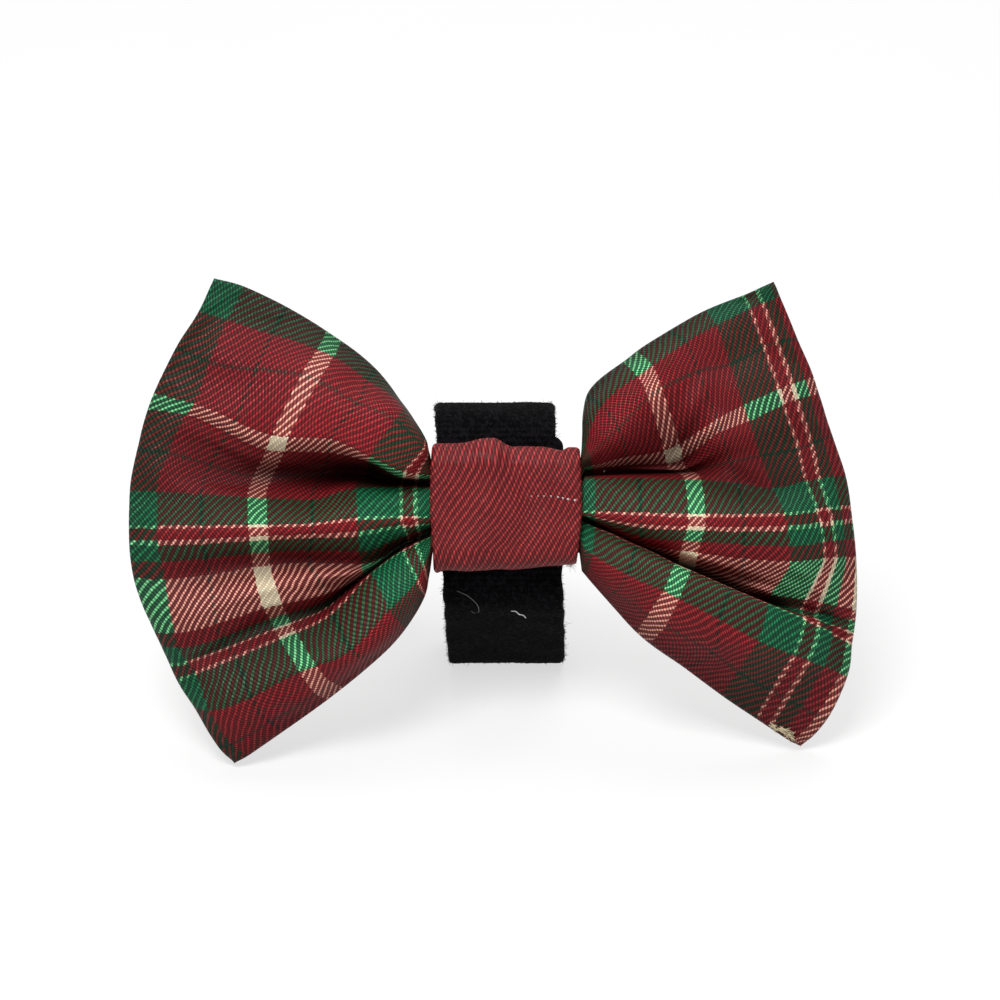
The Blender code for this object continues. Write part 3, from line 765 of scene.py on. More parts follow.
def make_knot_band():
    """The wrap round the waist: a folded strip's section carried round a rounded rectangle.

    The section runs over the outer face, round one folded rim, back along the inner face and round
    the other. Its outline and rims follow smooth curves, and bell curves make its swellings.
    """
    half = KNOT_HALF_WIDTH
    u, h = flat_section(half, KNOT_WALL, KNOT_ACROSS, KNOT_ROUND, KNOT_INSIDE)
    x, h = u[None, :], h[None, :] + KNOT_WALL
    a = np.linspace(0, 1, KNOT_AROUND, endpoint=False)[:, None]
    ring, normal = rounded_box(*KNOT_SECTION, KNOT_JOINT + a[:, 0])
    v0, w0 = ring[:, :1], ring[:, 1:]
    outline = np.array(KNOT_OUTLINE)
    inside = np.clip(u, outline[0, 0], outline[-1, 0])
    top, bottom = curve_through(outline[:, 0], outline[:, 1:], inside).T
    tall = KNOT_SECTION[0]
    lift = top[None, :] * ease(v0, 4.0, tall) + bottom[None, :] * ease(-v0, 4.0, tall)
    facing = ease(w0, 0.0, 3.0)
    for at_u, at_v, height, wide, high in KNOT_FOLDS:
        bell = np.exp(-((x - at_u) / wide) ** 2 - ((v0 - at_v) / high) ** 2)
        lift = lift + facing * height * bell
    lift = lift + 0.05 * ripples(x * 1.0, a * 56.0, 21, 8, 5.0)
    rims = np.array(KNOT_RIMS)
    left, right = curve_through(rims[:, 0], rims[:, 1:], v0[:, 0]).T
    pull = left[:, None] * ease(-x, half - 5, half) - right[:, None] * ease(x, half - 5, half)
    depth = h + lift * (h / KNOT_WALL)
    points = np.stack([x + pull, v0 + normal[:, :1] * depth, w0 + normal[:, 1:] * depth], axis=-1)
    swing, middle, wide = KNOT_SWAY
    sway = swing * np.exp(-((x - middle) / wide) ** 2) * np.sin(3 * np.pi * a)
    cloth = np.stack([x + 0 * a, sway - a * KNOT_LENGTH], axis=-1)
    return put_mesh("knot_wrap", in_row_frame(points.reshape(-1, 3)),
                    grid_faces(numbered(points), True, True), cloth.reshape(-1, 2))


# The strap

def belt(circles, inset, step=math.radians(2.0)):
    """The outline of a belt drawn tight round circles (v, w, radius), run anticlockwise.

    From each circle to the next the belt leaves along their outer tangent, whose normal is turned
    from the line of centres by the arc cosine of the radii's difference over the distance.
    """
    outline = []
    headings = []
    for k, (v, w, r) in enumerate(circles):
        v2, w2, r2 = circles[(k + 1) % len(circles)]
        lean = math.acos((r - r2) / math.hypot(v2 - v, w2 - w))
        headings.append(math.atan2(w2 - w, v2 - v) - lean)
    for k, (v, w, r) in enumerate(circles):
        turn = (headings[k] - headings[k - 1]) % (2 * math.pi)
        angle = headings[k - 1] + turn * np.linspace(0, 1, max(2, round(turn / step)))
        arc = np.stack([v + (r - inset) * np.cos(angle), w + (r - inset) * np.sin(angle)], axis=-1)
        outline.append(arc)
    return np.concatenate(outline)


def even_run(points, count, closed):
    """The same line through points at even arc lengths, with its length."""
    line = np.concatenate([points, points[:1]]) if closed else points
    far = np.concatenate([[0], np.cumsum(np.linalg.norm(np.diff(line, axis=0), axis=1))])
    at = np.linspace(0, far[-1], count, endpoint=not closed)
    return np.stack([np.interp(at, far, line[:, k]) for k in range(line.shape[1])], axis=-1), far[-1]


def loop_circles():
    """The strap loop's three circles, with the foot laid on the floor that the row stands on."""
    foot_v, foot_r = LOOP_FOOT
    floor = -KNOT[2]
    foot_w = (floor + foot_r - foot_v * math.cos(LEAN)) / math.sin(LEAN)
    return [
        (LOOP_TOP[0], STRAP_FACE - LOOP_TOP[1], LOOP_TOP[1]),
        (LOOP_KNEE[0], STRAP_FACE - LOOP_KNEE[1], LOOP_KNEE[1]),
        (foot_v, foot_w, foot_r),
    ]


def strap_surface(line, closed, wall, centre, length, seed):
    """A flat strap's rounded section carried along a line (v, w), thickened to the loop's inside.

    The section is a thin rectangle whose short sides are half circles. A brushed, uneven face comes
    from ripples along the normal, finer along the strap's edges.
    """
    if closed:
        tangent = np.roll(line, -1, axis=0) - np.roll(line, 1, axis=0)
    else:
        tangent = np.gradient(line, axis=0)
    tangent /= np.linalg.norm(tangent, axis=1, keepdims=True)
    out = np.stack([tangent[:, 1], -tangent[:, 0]], axis=-1)
    half = STRAP_WIDTH / 2
    u, h = flat_section(half, wall, STRAP_ACROSS, STRAP_ROUND, STRAP_ACROSS)
    x = np.broadcast_to(u[None, :], (len(line), len(u)))
    a = np.broadcast_to(np.linspace(0, length, len(line))[:, None], x.shape)
    rough = 0.05 * ripples(x, a, seed, 14, 0.9) + 0.07 * ripples(x, a, seed + 1, 10, 6.0)
    frayed = 0.10 * ripples(a, h[None, :] * 0.6, seed + 2, 8, 5.0) * ease(abs(x), half - 1.5, half)
    depth = h[None, :] + rough
    v = line[:, :1] + out[:, :1] * depth
    w = line[:, 1:] + out[:, 1:] * depth
    if not closed:
        short = np.minimum(a, length - a).clip(0, END_ROUND)
        x = x * (1 - (END_ROUND - np.sqrt(END_ROUND ** 2 - (END_ROUND - short) ** 2)) / half)
    aside = centre * ease(line[:, :1], -9.0, 9.0)
    uu = x + np.sign(x) * frayed + aside + STRAP_SHIFT + STRAP_SLANT * line[:, :1]
    return np.stack([uu, v, w], axis=-1), np.stack([x, a], axis=-1)


def off_floor(points):
    """The same points, none below the floor."""
    points = in_row_frame(points.reshape(-1, 3))
    points[:, 2] = np.maximum(points[:, 2], 0)
    return points


def mark_worn(piece, points):
    """Stores how much of the knit shows: most just above and below the knot."""
    v = points.reshape(-1, 3)[:, 1]
    store(piece, "worn", ease(v, 18.0, 11.0) * ease(v, -17.0, -10.5))


def make_strap():
    """The closed loop, and its overlapped end as a second layer inside the front run."""
    circles = loop_circles()
    line, length = even_run(belt(circles, 0.0), LOOP_STEPS, True)
    surface, cloth = strap_surface(line, True, STRAP_WALL, 0.0, length, 41)
    loop = put_mesh("brushed_loop", off_floor(surface),
                    grid_faces(numbered(surface), True, True)[:, ::-1], cloth.reshape(-1, 2))
    mark_worn(loop, surface)
    inner = belt(circles, STRAP_WALL + END_GAP)
    in_front = inner[:, 1] > STRAP_FACE - LOOP_TOP[1]
    run = inner[in_front & (inner[:, 0] > -END_DROP) & (inner[:, 0] < END_RISE)]
    run = run[np.argsort(-run[:, 0])]
    run, length = even_run(run, END_STEPS, False)
    points, cloth = strap_surface(run[::-1], False, END_WALL, END_SIDESTEP, length, 51)
    index = numbered(points)
    faces = grid_faces(index, False, True)
    caps = []
    for end in (0, -1):
        ring = index[end]
        k = len(ring) // 2
        top, bottom = ring[:k], ring[k:][::-1]
        cap = np.stack([top[:-1], top[1:], bottom[1:], bottom[:-1]], axis=-1)
        caps.append(cap[:, ::-1] if end == 0 else cap)
    faces = np.concatenate([faces] + caps)[:, ::-1]
    end = put_mesh("brushed_end", in_row_frame(points.reshape(-1, 3)), faces, cloth.reshape(-1, 2))
    mark_worn(end, points)
    return loop, end, surface


# Fibres and threads

def thread_mesh(name, lines, radii):
    """Closed three-sided tubes along many lines (n, m, uvw) with radii (n, m) at their rings.

    Each ring is p + r (a cos k + b sin k), with a and b square to the line's first heading.
    """
    count, rings = lines.shape[:2]
    heading = lines[:, -1] - lines[:, 0]
    heading /= np.maximum(np.linalg.norm(heading, axis=1, keepdims=True), 1e-9)
    other = np.where(abs(heading[:, 2:]) < 0.8, [[0.0, 0.0, 1.0]], [[1.0, 0.0, 0.0]])
    a = np.cross(heading, other)
    a /= np.linalg.norm(a, axis=1, keepdims=True)
    b = np.cross(heading, a)
    angle = 2 * np.pi * np.arange(3) / 3
    ring = a[:, None] * np.cos(angle)[None, :, None] + b[:, None] * np.sin(angle)[None, :, None]
    points = lines[:, :, None] + radii[:, :, None, None] * ring[:, None]
    index = np.arange(count * rings * 3).reshape(count, rings, 3)
    one, two = index[:, :-1], index[:, 1:]
    next_one, next_two = np.roll(one, -1, axis=2), np.roll(two, -1, axis=2)
    sides = np.concatenate([np.stack([one, next_one, two], axis=-1).reshape(-1, 3),
                            np.stack([next_one, next_two, two], axis=-1).reshape(-1, 3)])
    ends = np.concatenate([index[:, 0, ::-1], index[:, -1]])
    return put_mesh(name, in_row_frame(points.reshape(-1, 3)), np.concatenate([sides, ends]))


def outward(grid):
    """Unit normals of a closed section carried round a closed line: the cross product of both steps."""
    normal = np.cross(np.roll(grid, -1, 0) - np.roll(grid, 1, 0),
                      np.roll(grid, -1, 1) - np.roll(grid, 1, 1))
    return normal / np.maximum(np.linalg.norm(normal, axis=-1, keepdims=True), 1e-9)


def curled(draw, roots, headings, lengths, curl, rings=5):
    """Lines that leave their roots along the headings and bend aside: p = root + L (h x + c x²)."""
    x = np.linspace(0, 1, rings)[None, :, None]
    aside = draw.normal(0, curl, roots.shape)[:, None]
    length = lengths[:, None, None]
    return roots[:, None] + length * (headings[:, None] * x + aside * x ** 2)


def make_nap(points):
    """Loose pile on the strap: short fibres, thicker along its edges, with a few longer ones."""
    draw = np.random.default_rng(NAP_SEED)
    inner = outward(points)
    middle = points.mean(axis=1, keepdims=True)
    side = np.sign(np.sum(inner * (points - middle), axis=-1, keepdims=True))
    normal = inner * side
    edge = ease(abs(points[..., 0] - middle[..., 0]), 8.9, 9.9)
    want = (0.35 + 2.2 * edge).ravel()
    pick = draw.choice(want.size, NAP_FIBRES, p=want / want.sum())
    roots = points.reshape(-1, 3)[pick]
    headings = normal.reshape(-1, 3)[pick] + draw.normal(0, 0.75, roots.shape)
    headings /= np.linalg.norm(headings, axis=1, keepdims=True)
    lengths = 0.22 + 0.30 * draw.random(len(pick)) ** 2
    lengths = lengths + 0.7 * (draw.random(len(pick)) > 0.985)
    lines = curled(draw, roots - 0.05 * headings, headings, lengths, 0.45, 3)
    height = KNOT[2] + lines[..., 1] * UPWARD[2] + lines[..., 2] * FRONTWARD[2]
    lines = lines[height.min(axis=1) > 0.06]
    radii = np.broadcast_to(np.array([0.040, 0.034, 0.010]), lines.shape[:2])
    return thread_mesh("strap_nap", lines, radii)


def on_surface(piece, marks):
    """Where lines of sight through picture places u, v first meet a piece, in the bow's frame.

    A line that passes beside the piece gives the piece's nearest point.
    """
    tree = BVHTree.FromObject(piece, bpy.context.evaluated_depsgraph_get())
    eye = in_row_frame(np.array([SIGHT_OFFSET[0], SIGHT_OFFSET[1], SIGHT]))
    found = []
    for u, v in marks:
        aim = in_row_frame(np.array([u, v, 0.0]))
        hit = tree.ray_cast(Vector(eye), Vector(aim - eye).normalized())[0]
        if hit is None:
            hit = tree.find_nearest(Vector(aim))[0]
        away = np.array(hit) / MM - KNOT
        found.append((away @ RIGHTWARD, away @ UPWARD, away @ FRONTWARD))
    return np.array(found)


# Places of the threads in pixels of the photograph, with the knot's centre and the pixel's size in
# millimetres, and the dots' radii in millimetres

PICTURE_CENTRE = (506, 508)
PIXEL = 0.165
THREAD_DOTS = (
    (531, 496), (538, 496), (544, 496), (551, 496), (558, 497), (563, 498), (568, 499), (575, 500),
)
DOT_SIZES = (0.10, 0.11, 0.13, 0.15, 0.18, 0.19, 0.22, 0.23)
LOOSE_DOT = (604, 471)
HAIR = (
    (457, 591), (462, 593), (468, 596), (474, 601), (478, 606), (479, 611), (475, 613), (471, 611),
)
LINT = ((511, 611), (515, 611), (519, 614), (523, 615), (526, 618))
FLUFF = ((569, 568), (571, 571))
FRAYED_SEAM = ((771, 736), (776, 739), (781, 742), (785, 745), (789, 747))


def picture_places(pixels):
    """Pixels to places u, v in the plane w = 0, in millimetres."""
    at = np.asarray(pixels, float)
    return np.stack([(at[..., 0] - PICTURE_CENTRE[0]) * PIXEL,
                     (PICTURE_CENTRE[1] - at[..., 1]) * PIXEL], axis=-1)


def make_dots(piece, pixels, sizes, name):
    """Tiny stitch dots: short stubs that stand out of the cloth."""
    spots = on_surface(piece, picture_places(pixels))
    sizes = np.asarray(sizes, float)[:, None]
    x = np.linspace(-1, 1, 5)[None, :]
    lines = spots[:, None] + np.array([1.0, -0.1, 0.0]) * (0.9 * sizes * x)[..., None]
    lines[..., 2] += 0.4 * sizes
    return thread_mesh(name, lines, sizes * np.sqrt(np.maximum(1 - x ** 2, 0.08)))


def make_strand(piece, pixels, radius, lift, name):
    """One hair or thread that lies on a piece along picture places."""
    spots = on_surface(piece, picture_places(pixels))
    far = np.arange(len(spots))
    line = curve_through(far, spots, np.linspace(0, far[-1], 24))
    line[:, 2] += lift
    taper = 0.25 + 0.75 * np.sin(np.pi * np.linspace(0.02, 0.98, 24)) ** 0.3
    return thread_mesh(name, line[None], radius * taper[None])


def make_tuft(piece, pixels, count, length, radius, seed, name, along=0.0):
    """A tuft of fine fibres round picture places on a piece, laid along the places by a share."""
    draw = np.random.default_rng(seed)
    spots = on_surface(piece, picture_places(pixels))
    f = draw.random(count) * (len(spots) - 1)
    roots = curve_through(np.arange(len(spots)), spots, f)
    roots = roots + draw.normal(0, 0.25, (count, 3)) * [1, 1, 0.3]
    headings = draw.normal(0, 1, (count, 3)) * [1, 0.8, 0.5]
    headings += along * (spots[-1] - spots[0]) / np.linalg.norm(spots[-1] - spots[0])
    headings /= np.linalg.norm(headings, axis=1, keepdims=True)
    lines = curled(draw, roots, headings, length * (0.4 + 0.6 * draw.random(count)), 0.5)
    radii = radius * np.array([1.0, 1.0, 0.9, 0.7, 0.3])
    return thread_mesh(name, lines, np.broadcast_to(radii, lines.shape[:2]))


# Finishes

def new_group(name, takes, gives):
    """An empty shader group, and the sockets that its nodes read from and write to, by their names."""
    group = bpy.data.node_groups.new(name, "ShaderNodeTree")
    for flow, sockets in (("INPUT", takes), ("OUTPUT", gives)):
        for label, (kind, default) in sockets.items():
            made = group.interface.new_socket(name=label, in_out=flow, socket_type="NodeSocket" + kind)
            if default is not None:
                made.default_value = default
    inside = group.nodes.new("NodeGroupInput")
    result = group.nodes.new("NodeGroupOutput")
    return group, inside.outputs, result.inputs


def feed(tree, value, into):
    """Links a socket to a node's input, or sets the input to a plain value."""
    if isinstance(value, bpy.types.NodeSocket):
        tree.links.new(value, into)
    else:
        into.default_value = value


def math_node(tree, operation, a, b=0.0, c=0.0, clamp=False):
    """A Math node of the given operation, fed by sockets or numbers."""
    node = tree.nodes.new("ShaderNodeMath")
    node.operation = operation
    node.use_clamp = clamp
    for k, value in enumerate((a, b, c)):
        feed(tree, value, node.inputs[k])
    return node.outputs[0]


def vector_node(tree, operation, vector, by):
    """A Vector Math node of a vector with a plain vector."""
    node = tree.nodes.new("ShaderNodeVectorMath")
    node.operation = operation
    tree.links.new(vector, node.inputs[0])
    node.inputs[1].default_value = by
    return node


def mix_colour(tree, factor, a, b, blend="MIX"):
    """A colour Mix node, fed by sockets or colours."""
    node = tree.nodes.new("ShaderNodeMix")
    node.data_type = "RGBA"
    node.blend_type = blend
    for k, value in ((0, factor), (6, a), (7, b)):
        feed(tree, value, node.inputs[k])
    return node.outputs[2]


def noise(tree, vector, scale, detail=2.0, roughness=0.5):
    """A Noise Texture's value over a vector."""
    node = tree.nodes.new("ShaderNodeTexNoise")
    tree.links.new(vector, node.inputs["Vector"])
    node.inputs["Scale"].default_value = scale
    node.inputs["Detail"].default_value = detail
    node.inputs["Roughness"].default_value = roughness
    return node.outputs["Fac"]


def map_range(tree, value, low, high, to_low=0.0, to_high=1.0):
    """A smooth, clamped Map Range node."""
    node = tree.nodes.new("ShaderNodeMapRange")
    node.interpolation_type = "SMOOTHSTEP"
    tree.links.new(value, node.inputs[0])
    for k, number in enumerate((low, high, to_low, to_high)):
        node.inputs[k + 1].default_value = number
    return node.outputs[0]


# Unit normals of the twill's lines and of the beads across them, the tint of a yarn's painted
# shadow, and the weave's bump: strength, and depth in metres

TWILL_NORMAL = (0.7986, 0.6018, 0)
BEAD_NORMAL = (0.8387, -0.5446, 0)
SHADOW_TINT = (0.13, 0.07, 0.15, 1)
WEAVE_BUMP = (0.8, 0.00014)


def twill_group():
    """Twill weave on cloth places in millimetres: a hatch of slanting lines, their painted shade, their
    height.

    A line is a cosine wave over the dot product of the place with the lines' normal, divided by the
    pitch: weft floats sit on its crests, warp floats in its troughs, with a dark gap between. Beads
    are a finer wave across it, where each yarn dips under the next. Lean runs from 1, where a pale
    weft crosses a dark warp, to -1, where the warp is the pale one and its floats are the bright ones.
    The shade is painted: painted shade in the gaps, painted highlight on the beads and brighter floats.
    """
    group, inside, result = new_group("twill_weave", {
        "Place": ("Vector", None), "Pitch": ("Float", 1.03), "Bead": ("Float", 0.5),
        "Depth": ("Float", 0.5), "Lean": ("Float", 0.0),
    }, {"Hatch": ("Float", None), "Shade": ("Float", None), "Height": ("Float", None)})
    wobble = noise(group, inside["Place"], 0.25, 1.0)
    waves = []
    for normal, pitch, loose in ((TWILL_NORMAL, "Pitch", 0.7), (BEAD_NORMAL, "Bead", 0.5)):
        dot = vector_node(group, "DOT_PRODUCT", inside["Place"], normal).outputs["Value"]
        shaken = math_node(group, "MULTIPLY_ADD", wobble, loose, dot)
        phase = math_node(group, "DIVIDE", shaken, inside[pitch])
        turned = math_node(group, "MULTIPLY", phase, 2 * math.pi)
        waves.append(math_node(group, "MULTIPLY_ADD", math_node(group, "COSINE", turned), 0.5, 0.5))
    line, bead = waves
    split = math_node(group, "MULTIPLY_ADD", inside["Lean"], -0.10, line)
    group.links.new(map_range(group, split, 0.40, 0.60), result["Hatch"])
    flip = math_node(group, "MULTIPLY", inside["Lean"], -1.0, clamp=True)
    weft = math_node(group, "MULTIPLY", map_range(group, split, 0.40, 0.80),
                     math_node(group, "MULTIPLY_ADD", flip, -0.5, 1.0))
    warp = math_node(group, "MULTIPLY", map_range(group, split, 0.60, 0.20),
                     math_node(group, "MULTIPLY_ADD", flip, 0.70, 0.30))
    ridge = math_node(group, "MAXIMUM", weft, warp)
    uneven = noise(group, inside["Place"], 1.7, 2.0)
    beaded = math_node(group, "MULTIPLY", bead, map_range(group, uneven, 0.3, 0.7, 0.6, 1.25))
    ridge_up = math_node(group, "MULTIPLY_ADD", ridge, 0.96, 0.04)
    bead_up = math_node(group, "MULTIPLY_ADD", beaded, 1.34, 0.30)
    both = math_node(group, "SUBTRACT", math_node(group, "MULTIPLY", ridge_up, bead_up), 1.0)
    shade = math_node(group, "MULTIPLY_ADD", both, inside["Depth"], 1.0)
    group.links.new(shade, result["Shade"])
    group.links.new(math_node(group, "MULTIPLY_ADD", beaded, 0.6, ridge), result["Height"])
    return group


def painted_shade_group():
    """Yarn colour by its painted shade: full at 1, a painted highlight above, a deep, cooler painted
    shadow of itself at 0.
    """
    group, inside, result = new_group(
        "yarn_painted_shade", {"Yarn": ("Color", (0.4, 0.03, 0.03, 1)), "Shade": ("Float", 0.5)},
        {"Colour": ("Color", None)})
    deep = mix_colour(group, 1.0, inside["Yarn"], SHADOW_TINT, "MULTIPLY")
    mixed = mix_colour(group, inside["Shade"], deep, inside["Yarn"])
    over = math_node(group, "MAXIMUM", inside["Shade"], 1.0)
    group.links.new(shaded(group, mixed, over), result["Colour"])
    return group


# One repeat of the plaid, the same both ways: each band's yarn and width in millimetres. Green, cream
# and dark line are the channels of the stripes' mask, and red is none of them.

SETT = (
    ("green", 6.6), ("red", 7.05), ("line", 0.6), ("red", 7.35), ("cream", 3.3),
    ("red", 7.05), ("line", 0.6), ("red", 7.05), ("green", 6.6),
    ("cream", 0.66), ("red", 1.98), ("cream", 0.66),
    ("green", 2.8), ("red", 2.8), ("cream", 9.6), ("red", 2.8), ("green", 2.8),
    ("cream", 0.66), ("red", 1.98), ("cream", 0.66),
)
YARN_MASKS = {
    "red": (0, 0, 0, 1), "green": (1, 0, 0, 1), "cream": (0, 1, 0, 1), "line": (0, 0, 1, 1),
}

# Where the repeat starts along s and t, how far the stripes wander, how much painted shade darkens the
# cloth in its folds, how much darker the hatch is where green crosses red, and how much painted
# highlight lightens its crests

SETT_START = (-1.6, -0.3)
STRIPE_WANDER = 0.7
FOLD_PAINTED_SHADE = 0.60
CREST_PAINTED_HIGHLIGHT = 0.55
CROSSING_DARKER = 0.40


def sett_group():
    """Which yarn the stripes have at a place in millimetres: green, cream, dark line or else red."""
    masks = ("Green", "Cream", "Line")
    group, inside, result = new_group("sett_stripes", {"Place": ("Float", None)},
                                      {name: ("Float", None) for name in masks})
    repeat = sum(width for _, width in SETT)
    ramp = group.nodes.new("ShaderNodeValToRGB")
    ramp.color_ramp.interpolation = "CONSTANT"
    share = math_node(group, "DIVIDE", inside["Place"], repeat)
    group.links.new(math_node(group, "FRACT", share), ramp.inputs[0])
    elements = ramp.color_ramp.elements
    while len(elements) > 1:
        elements.remove(elements[-1])
    at = 0.0
    for number, (yarn, width) in enumerate(SETT):
        stop = elements[0] if number == 0 else elements.new(at / repeat)
        stop.position = at / repeat
        stop.color = YARN_MASKS[yarn]
        at += width
    parts = group.nodes.new("ShaderNodeSeparateColor")
    group.links.new(ramp.outputs["Color"], parts.inputs[0])
    for k, name in enumerate(masks):
        group.links.new(parts.outputs[k], result[name])
    return group


def cloth_place(tree):
    """The piece's cloth map in millimetres."""
    uv = tree.nodes.new("ShaderNodeUVMap")
    uv.uv_map = "cloth"
    scale = tree.nodes.new("ShaderNodeVectorMath")
    scale.operation = "SCALE"
    tree.links.new(uv.outputs[0], scale.inputs[0])
    scale.inputs["Scale"].default_value = CLOTH_MAP_UNIT
    return scale.outputs[0]


def new_material(name, roughness, sheen, sheen_roughness=0.4, specular=0.5):
    """A material with a Principled shader whose even values are set on its own sockets."""
    made = bpy.data.materials.new(name)
    made.use_nodes = True
    tree = made.node_tree
    shader = tree.nodes["Principled BSDF"]
    shader.inputs["Roughness"].default_value = roughness
    shader.inputs["Sheen Weight"].default_value = sheen
    shader.inputs["Sheen Roughness"].default_value = sheen_roughness
    shader.inputs["Specular IOR Level"].default_value = specular
    return made, tree, shader


def bump(tree, shader, height, strength, distance):
    """A Bump node from a height to the shader's normal."""
    node = tree.nodes.new("ShaderNodeBump")
    node.inputs["Strength"].default_value = strength
    node.inputs["Distance"].default_value = distance
    tree.links.new(height, node.inputs["Height"])
    tree.links.new(node.outputs[0], shader.inputs["Normal"])


def use_group(tree, group, **values):
    """A group node with its inputs set by sockets or plain values."""
    node = tree.nodes.new("ShaderNodeGroup")
    node.node_tree = group
    for name, value in values.items():
        feed(tree, value, node.inputs[name])
    return node


def shaded(tree, colour, value):
    """A colour scaled by a value that changes over the surface."""
    node = tree.nodes.new("ShaderNodeHueSaturation")
    feed(tree, colour, node.inputs["Color"])
    tree.links.new(value, node.inputs["Value"])
    return node.outputs[0]


def stored(tree, name):
    """A point attribute's number."""
    node = tree.nodes.new("ShaderNodeAttribute")
    node.attribute_name = name
    return node.outputs["Fac"]


def plaid_twill(look, twill, sett, shade_group):
    """Warp and weft stripes of one sett, shown in turn along the twill's lines.

    Cream crosses red as a pale pink line and green as a light green one, and is cream only where
    cream crosses cream. Painted shade darkens the cloth in its folds, and a painted highlight lightens
    its crests.
    """
    made, tree, shader = new_material("plaid_twill", 0.5, 0.0, specular=0.22)
    place = cloth_place(tree)
    weave = use_group(tree, twill, Place=place, Pitch=look.twill_pitch, Bead=look.bead_pitch)
    parts = tree.nodes.new("ShaderNodeSeparateXYZ")
    tree.links.new(place, parts.inputs[0])
    shake = noise(tree, place, 1.3, 1.0)
    masks = []
    for axis, start in enumerate(SETT_START):
        moved = math_node(tree, "MULTIPLY_ADD", shake, STRIPE_WANDER, parts.outputs[axis])
        moved = math_node(tree, "SUBTRACT", moved, start + STRIPE_WANDER / 2)
        masks.append(use_group(tree, sett, Place=moved))
    warp_pale, weft_pale = masks[0].outputs["Cream"], masks[1].outputs["Cream"]
    tree.links.new(math_node(tree, "SUBTRACT", weft_pale, warp_pale), weave.inputs["Lean"])
    both_pale = math_node(tree, "MULTIPLY", weft_pale, warp_pale)
    tree.links.new(math_node(tree, "MULTIPLY_ADD", both_pale, -0.55, 1.0), weave.inputs["Depth"])
    yarns = []
    for own, other in (masks, masks[::-1]):
        plain = mix_colour(tree, own.outputs["Green"], look.red, look.green)
        faint = math_node(tree, "MULTIPLY", own.outputs["Line"], 0.92)
        plain = mix_colour(tree, faint, plain, look.line)
        pale = mix_colour(tree, other.outputs["Green"], look.pink, look.light_green)
        pale = mix_colour(tree, other.outputs["Cream"], pale, look.cream)
        yarns.append(mix_colour(tree, own.outputs["Cream"], plain, pale))
    show = math_node(tree, "MULTIPLY_ADD", weave.outputs["Hatch"], 0.76, 0.12)
    colour = mix_colour(tree, show, yarns[0], yarns[1])
    # The weave's painted shade and painted highlight laid over the yarn colour
    weave_shaded = use_group(tree, shade_group, Yarn=colour, Shade=weave.outputs["Shade"]).outputs["Colour"]
    greens = math_node(tree, "SUBTRACT", masks[0].outputs["Green"], masks[1].outputs["Green"])
    creamy = math_node(tree, "MAXIMUM", warp_pale, weft_pale)
    crossed = math_node(tree, "ABSOLUTE", greens)
    crossed = math_node(tree, "SUBTRACT", crossed, creamy, clamp=True)
    deeper = math_node(tree, "MULTIPLY_ADD", crossed, -CROSSING_DARKER, 1.0)
    blotch = math_node(tree, "MULTIPLY_ADD", noise(tree, place, 0.12, 3.0), 0.3, 0.85)
    # Painted shade in the folds and painted highlight on the crests, from the stored hollowness
    hollow = stored(tree, "hollow")
    crest = math_node(tree, "MULTIPLY", hollow, -CREST_PAINTED_HIGHLIGHT, clamp=True)
    sunk = math_node(tree, "MULTIPLY_ADD", hollow, -FOLD_PAINTED_SHADE, 1.0, clamp=True)
    folded = math_node(tree, "ADD", sunk, crest)
    dim = math_node(tree, "MULTIPLY", math_node(tree, "MULTIPLY", folded, blotch), deeper)
    tree.links.new(shaded(tree, weave_shaded, dim), shader.inputs["Base Color"])
    matt = math_node(tree, "MULTIPLY_ADD", noise(tree, place, 2.5), 0.2, 0.55)
    gloss = math_node(tree, "MULTIPLY_ADD", weave.outputs["Shade"], -0.24, matt)
    tree.links.new(gloss, shader.inputs["Roughness"])
    bump(tree, shader, weave.outputs["Height"], *WEAVE_BUMP)
    return made


def burgundy_twill(look, twill, shade_group):
    """The plain twill of the knot band, with the weave's painted shade and painted highlight."""
    made, tree, shader = new_material("burgundy_twill", 0.45, 0.0, specular=0.22)
    place = cloth_place(tree)
    weave = use_group(tree, twill, Place=place, Pitch=look.knot_pitch, Bead=look.bead_pitch * 0.94,
                      Depth=1.0)
    weave_shaded = use_group(tree, shade_group, Yarn=look.burgundy, Shade=weave.outputs["Shade"]).outputs["Colour"]
    blotch = math_node(tree, "MULTIPLY_ADD", noise(tree, place, 0.16, 3.0), 0.6, 0.70)
    tree.links.new(shaded(tree, weave_shaded, blotch), shader.inputs["Base Color"])
    bump(tree, shader, weave.outputs["Height"], *WEAVE_BUMP)
    return made


def thread_finish(name, colour, roughness):
    """Matt yarn with a little unevenness along it."""
    made, tree, shader = new_material(name, roughness, 0.1, specular=0.2)
    coords = tree.nodes.new("ShaderNodeTexCoord").outputs["Object"]
    uneven = math_node(tree, "MULTIPLY_ADD", noise(tree, coords, 1500.0, 3.0), 0.5, 0.75)
    tree.links.new(shaded(tree, colour, uneven), shader.inputs["Base Color"])
    bump(tree, shader, noise(tree, coords, 4000.0, 2.0), 0.4, 0.00005)
    return made


# The strap's pile is longer along the strap, and its knit rows are this far apart in millimetres

BRUSHED_ALONG = (1.0, 0.55, 1.0)
KNIT_ROW = 1.0


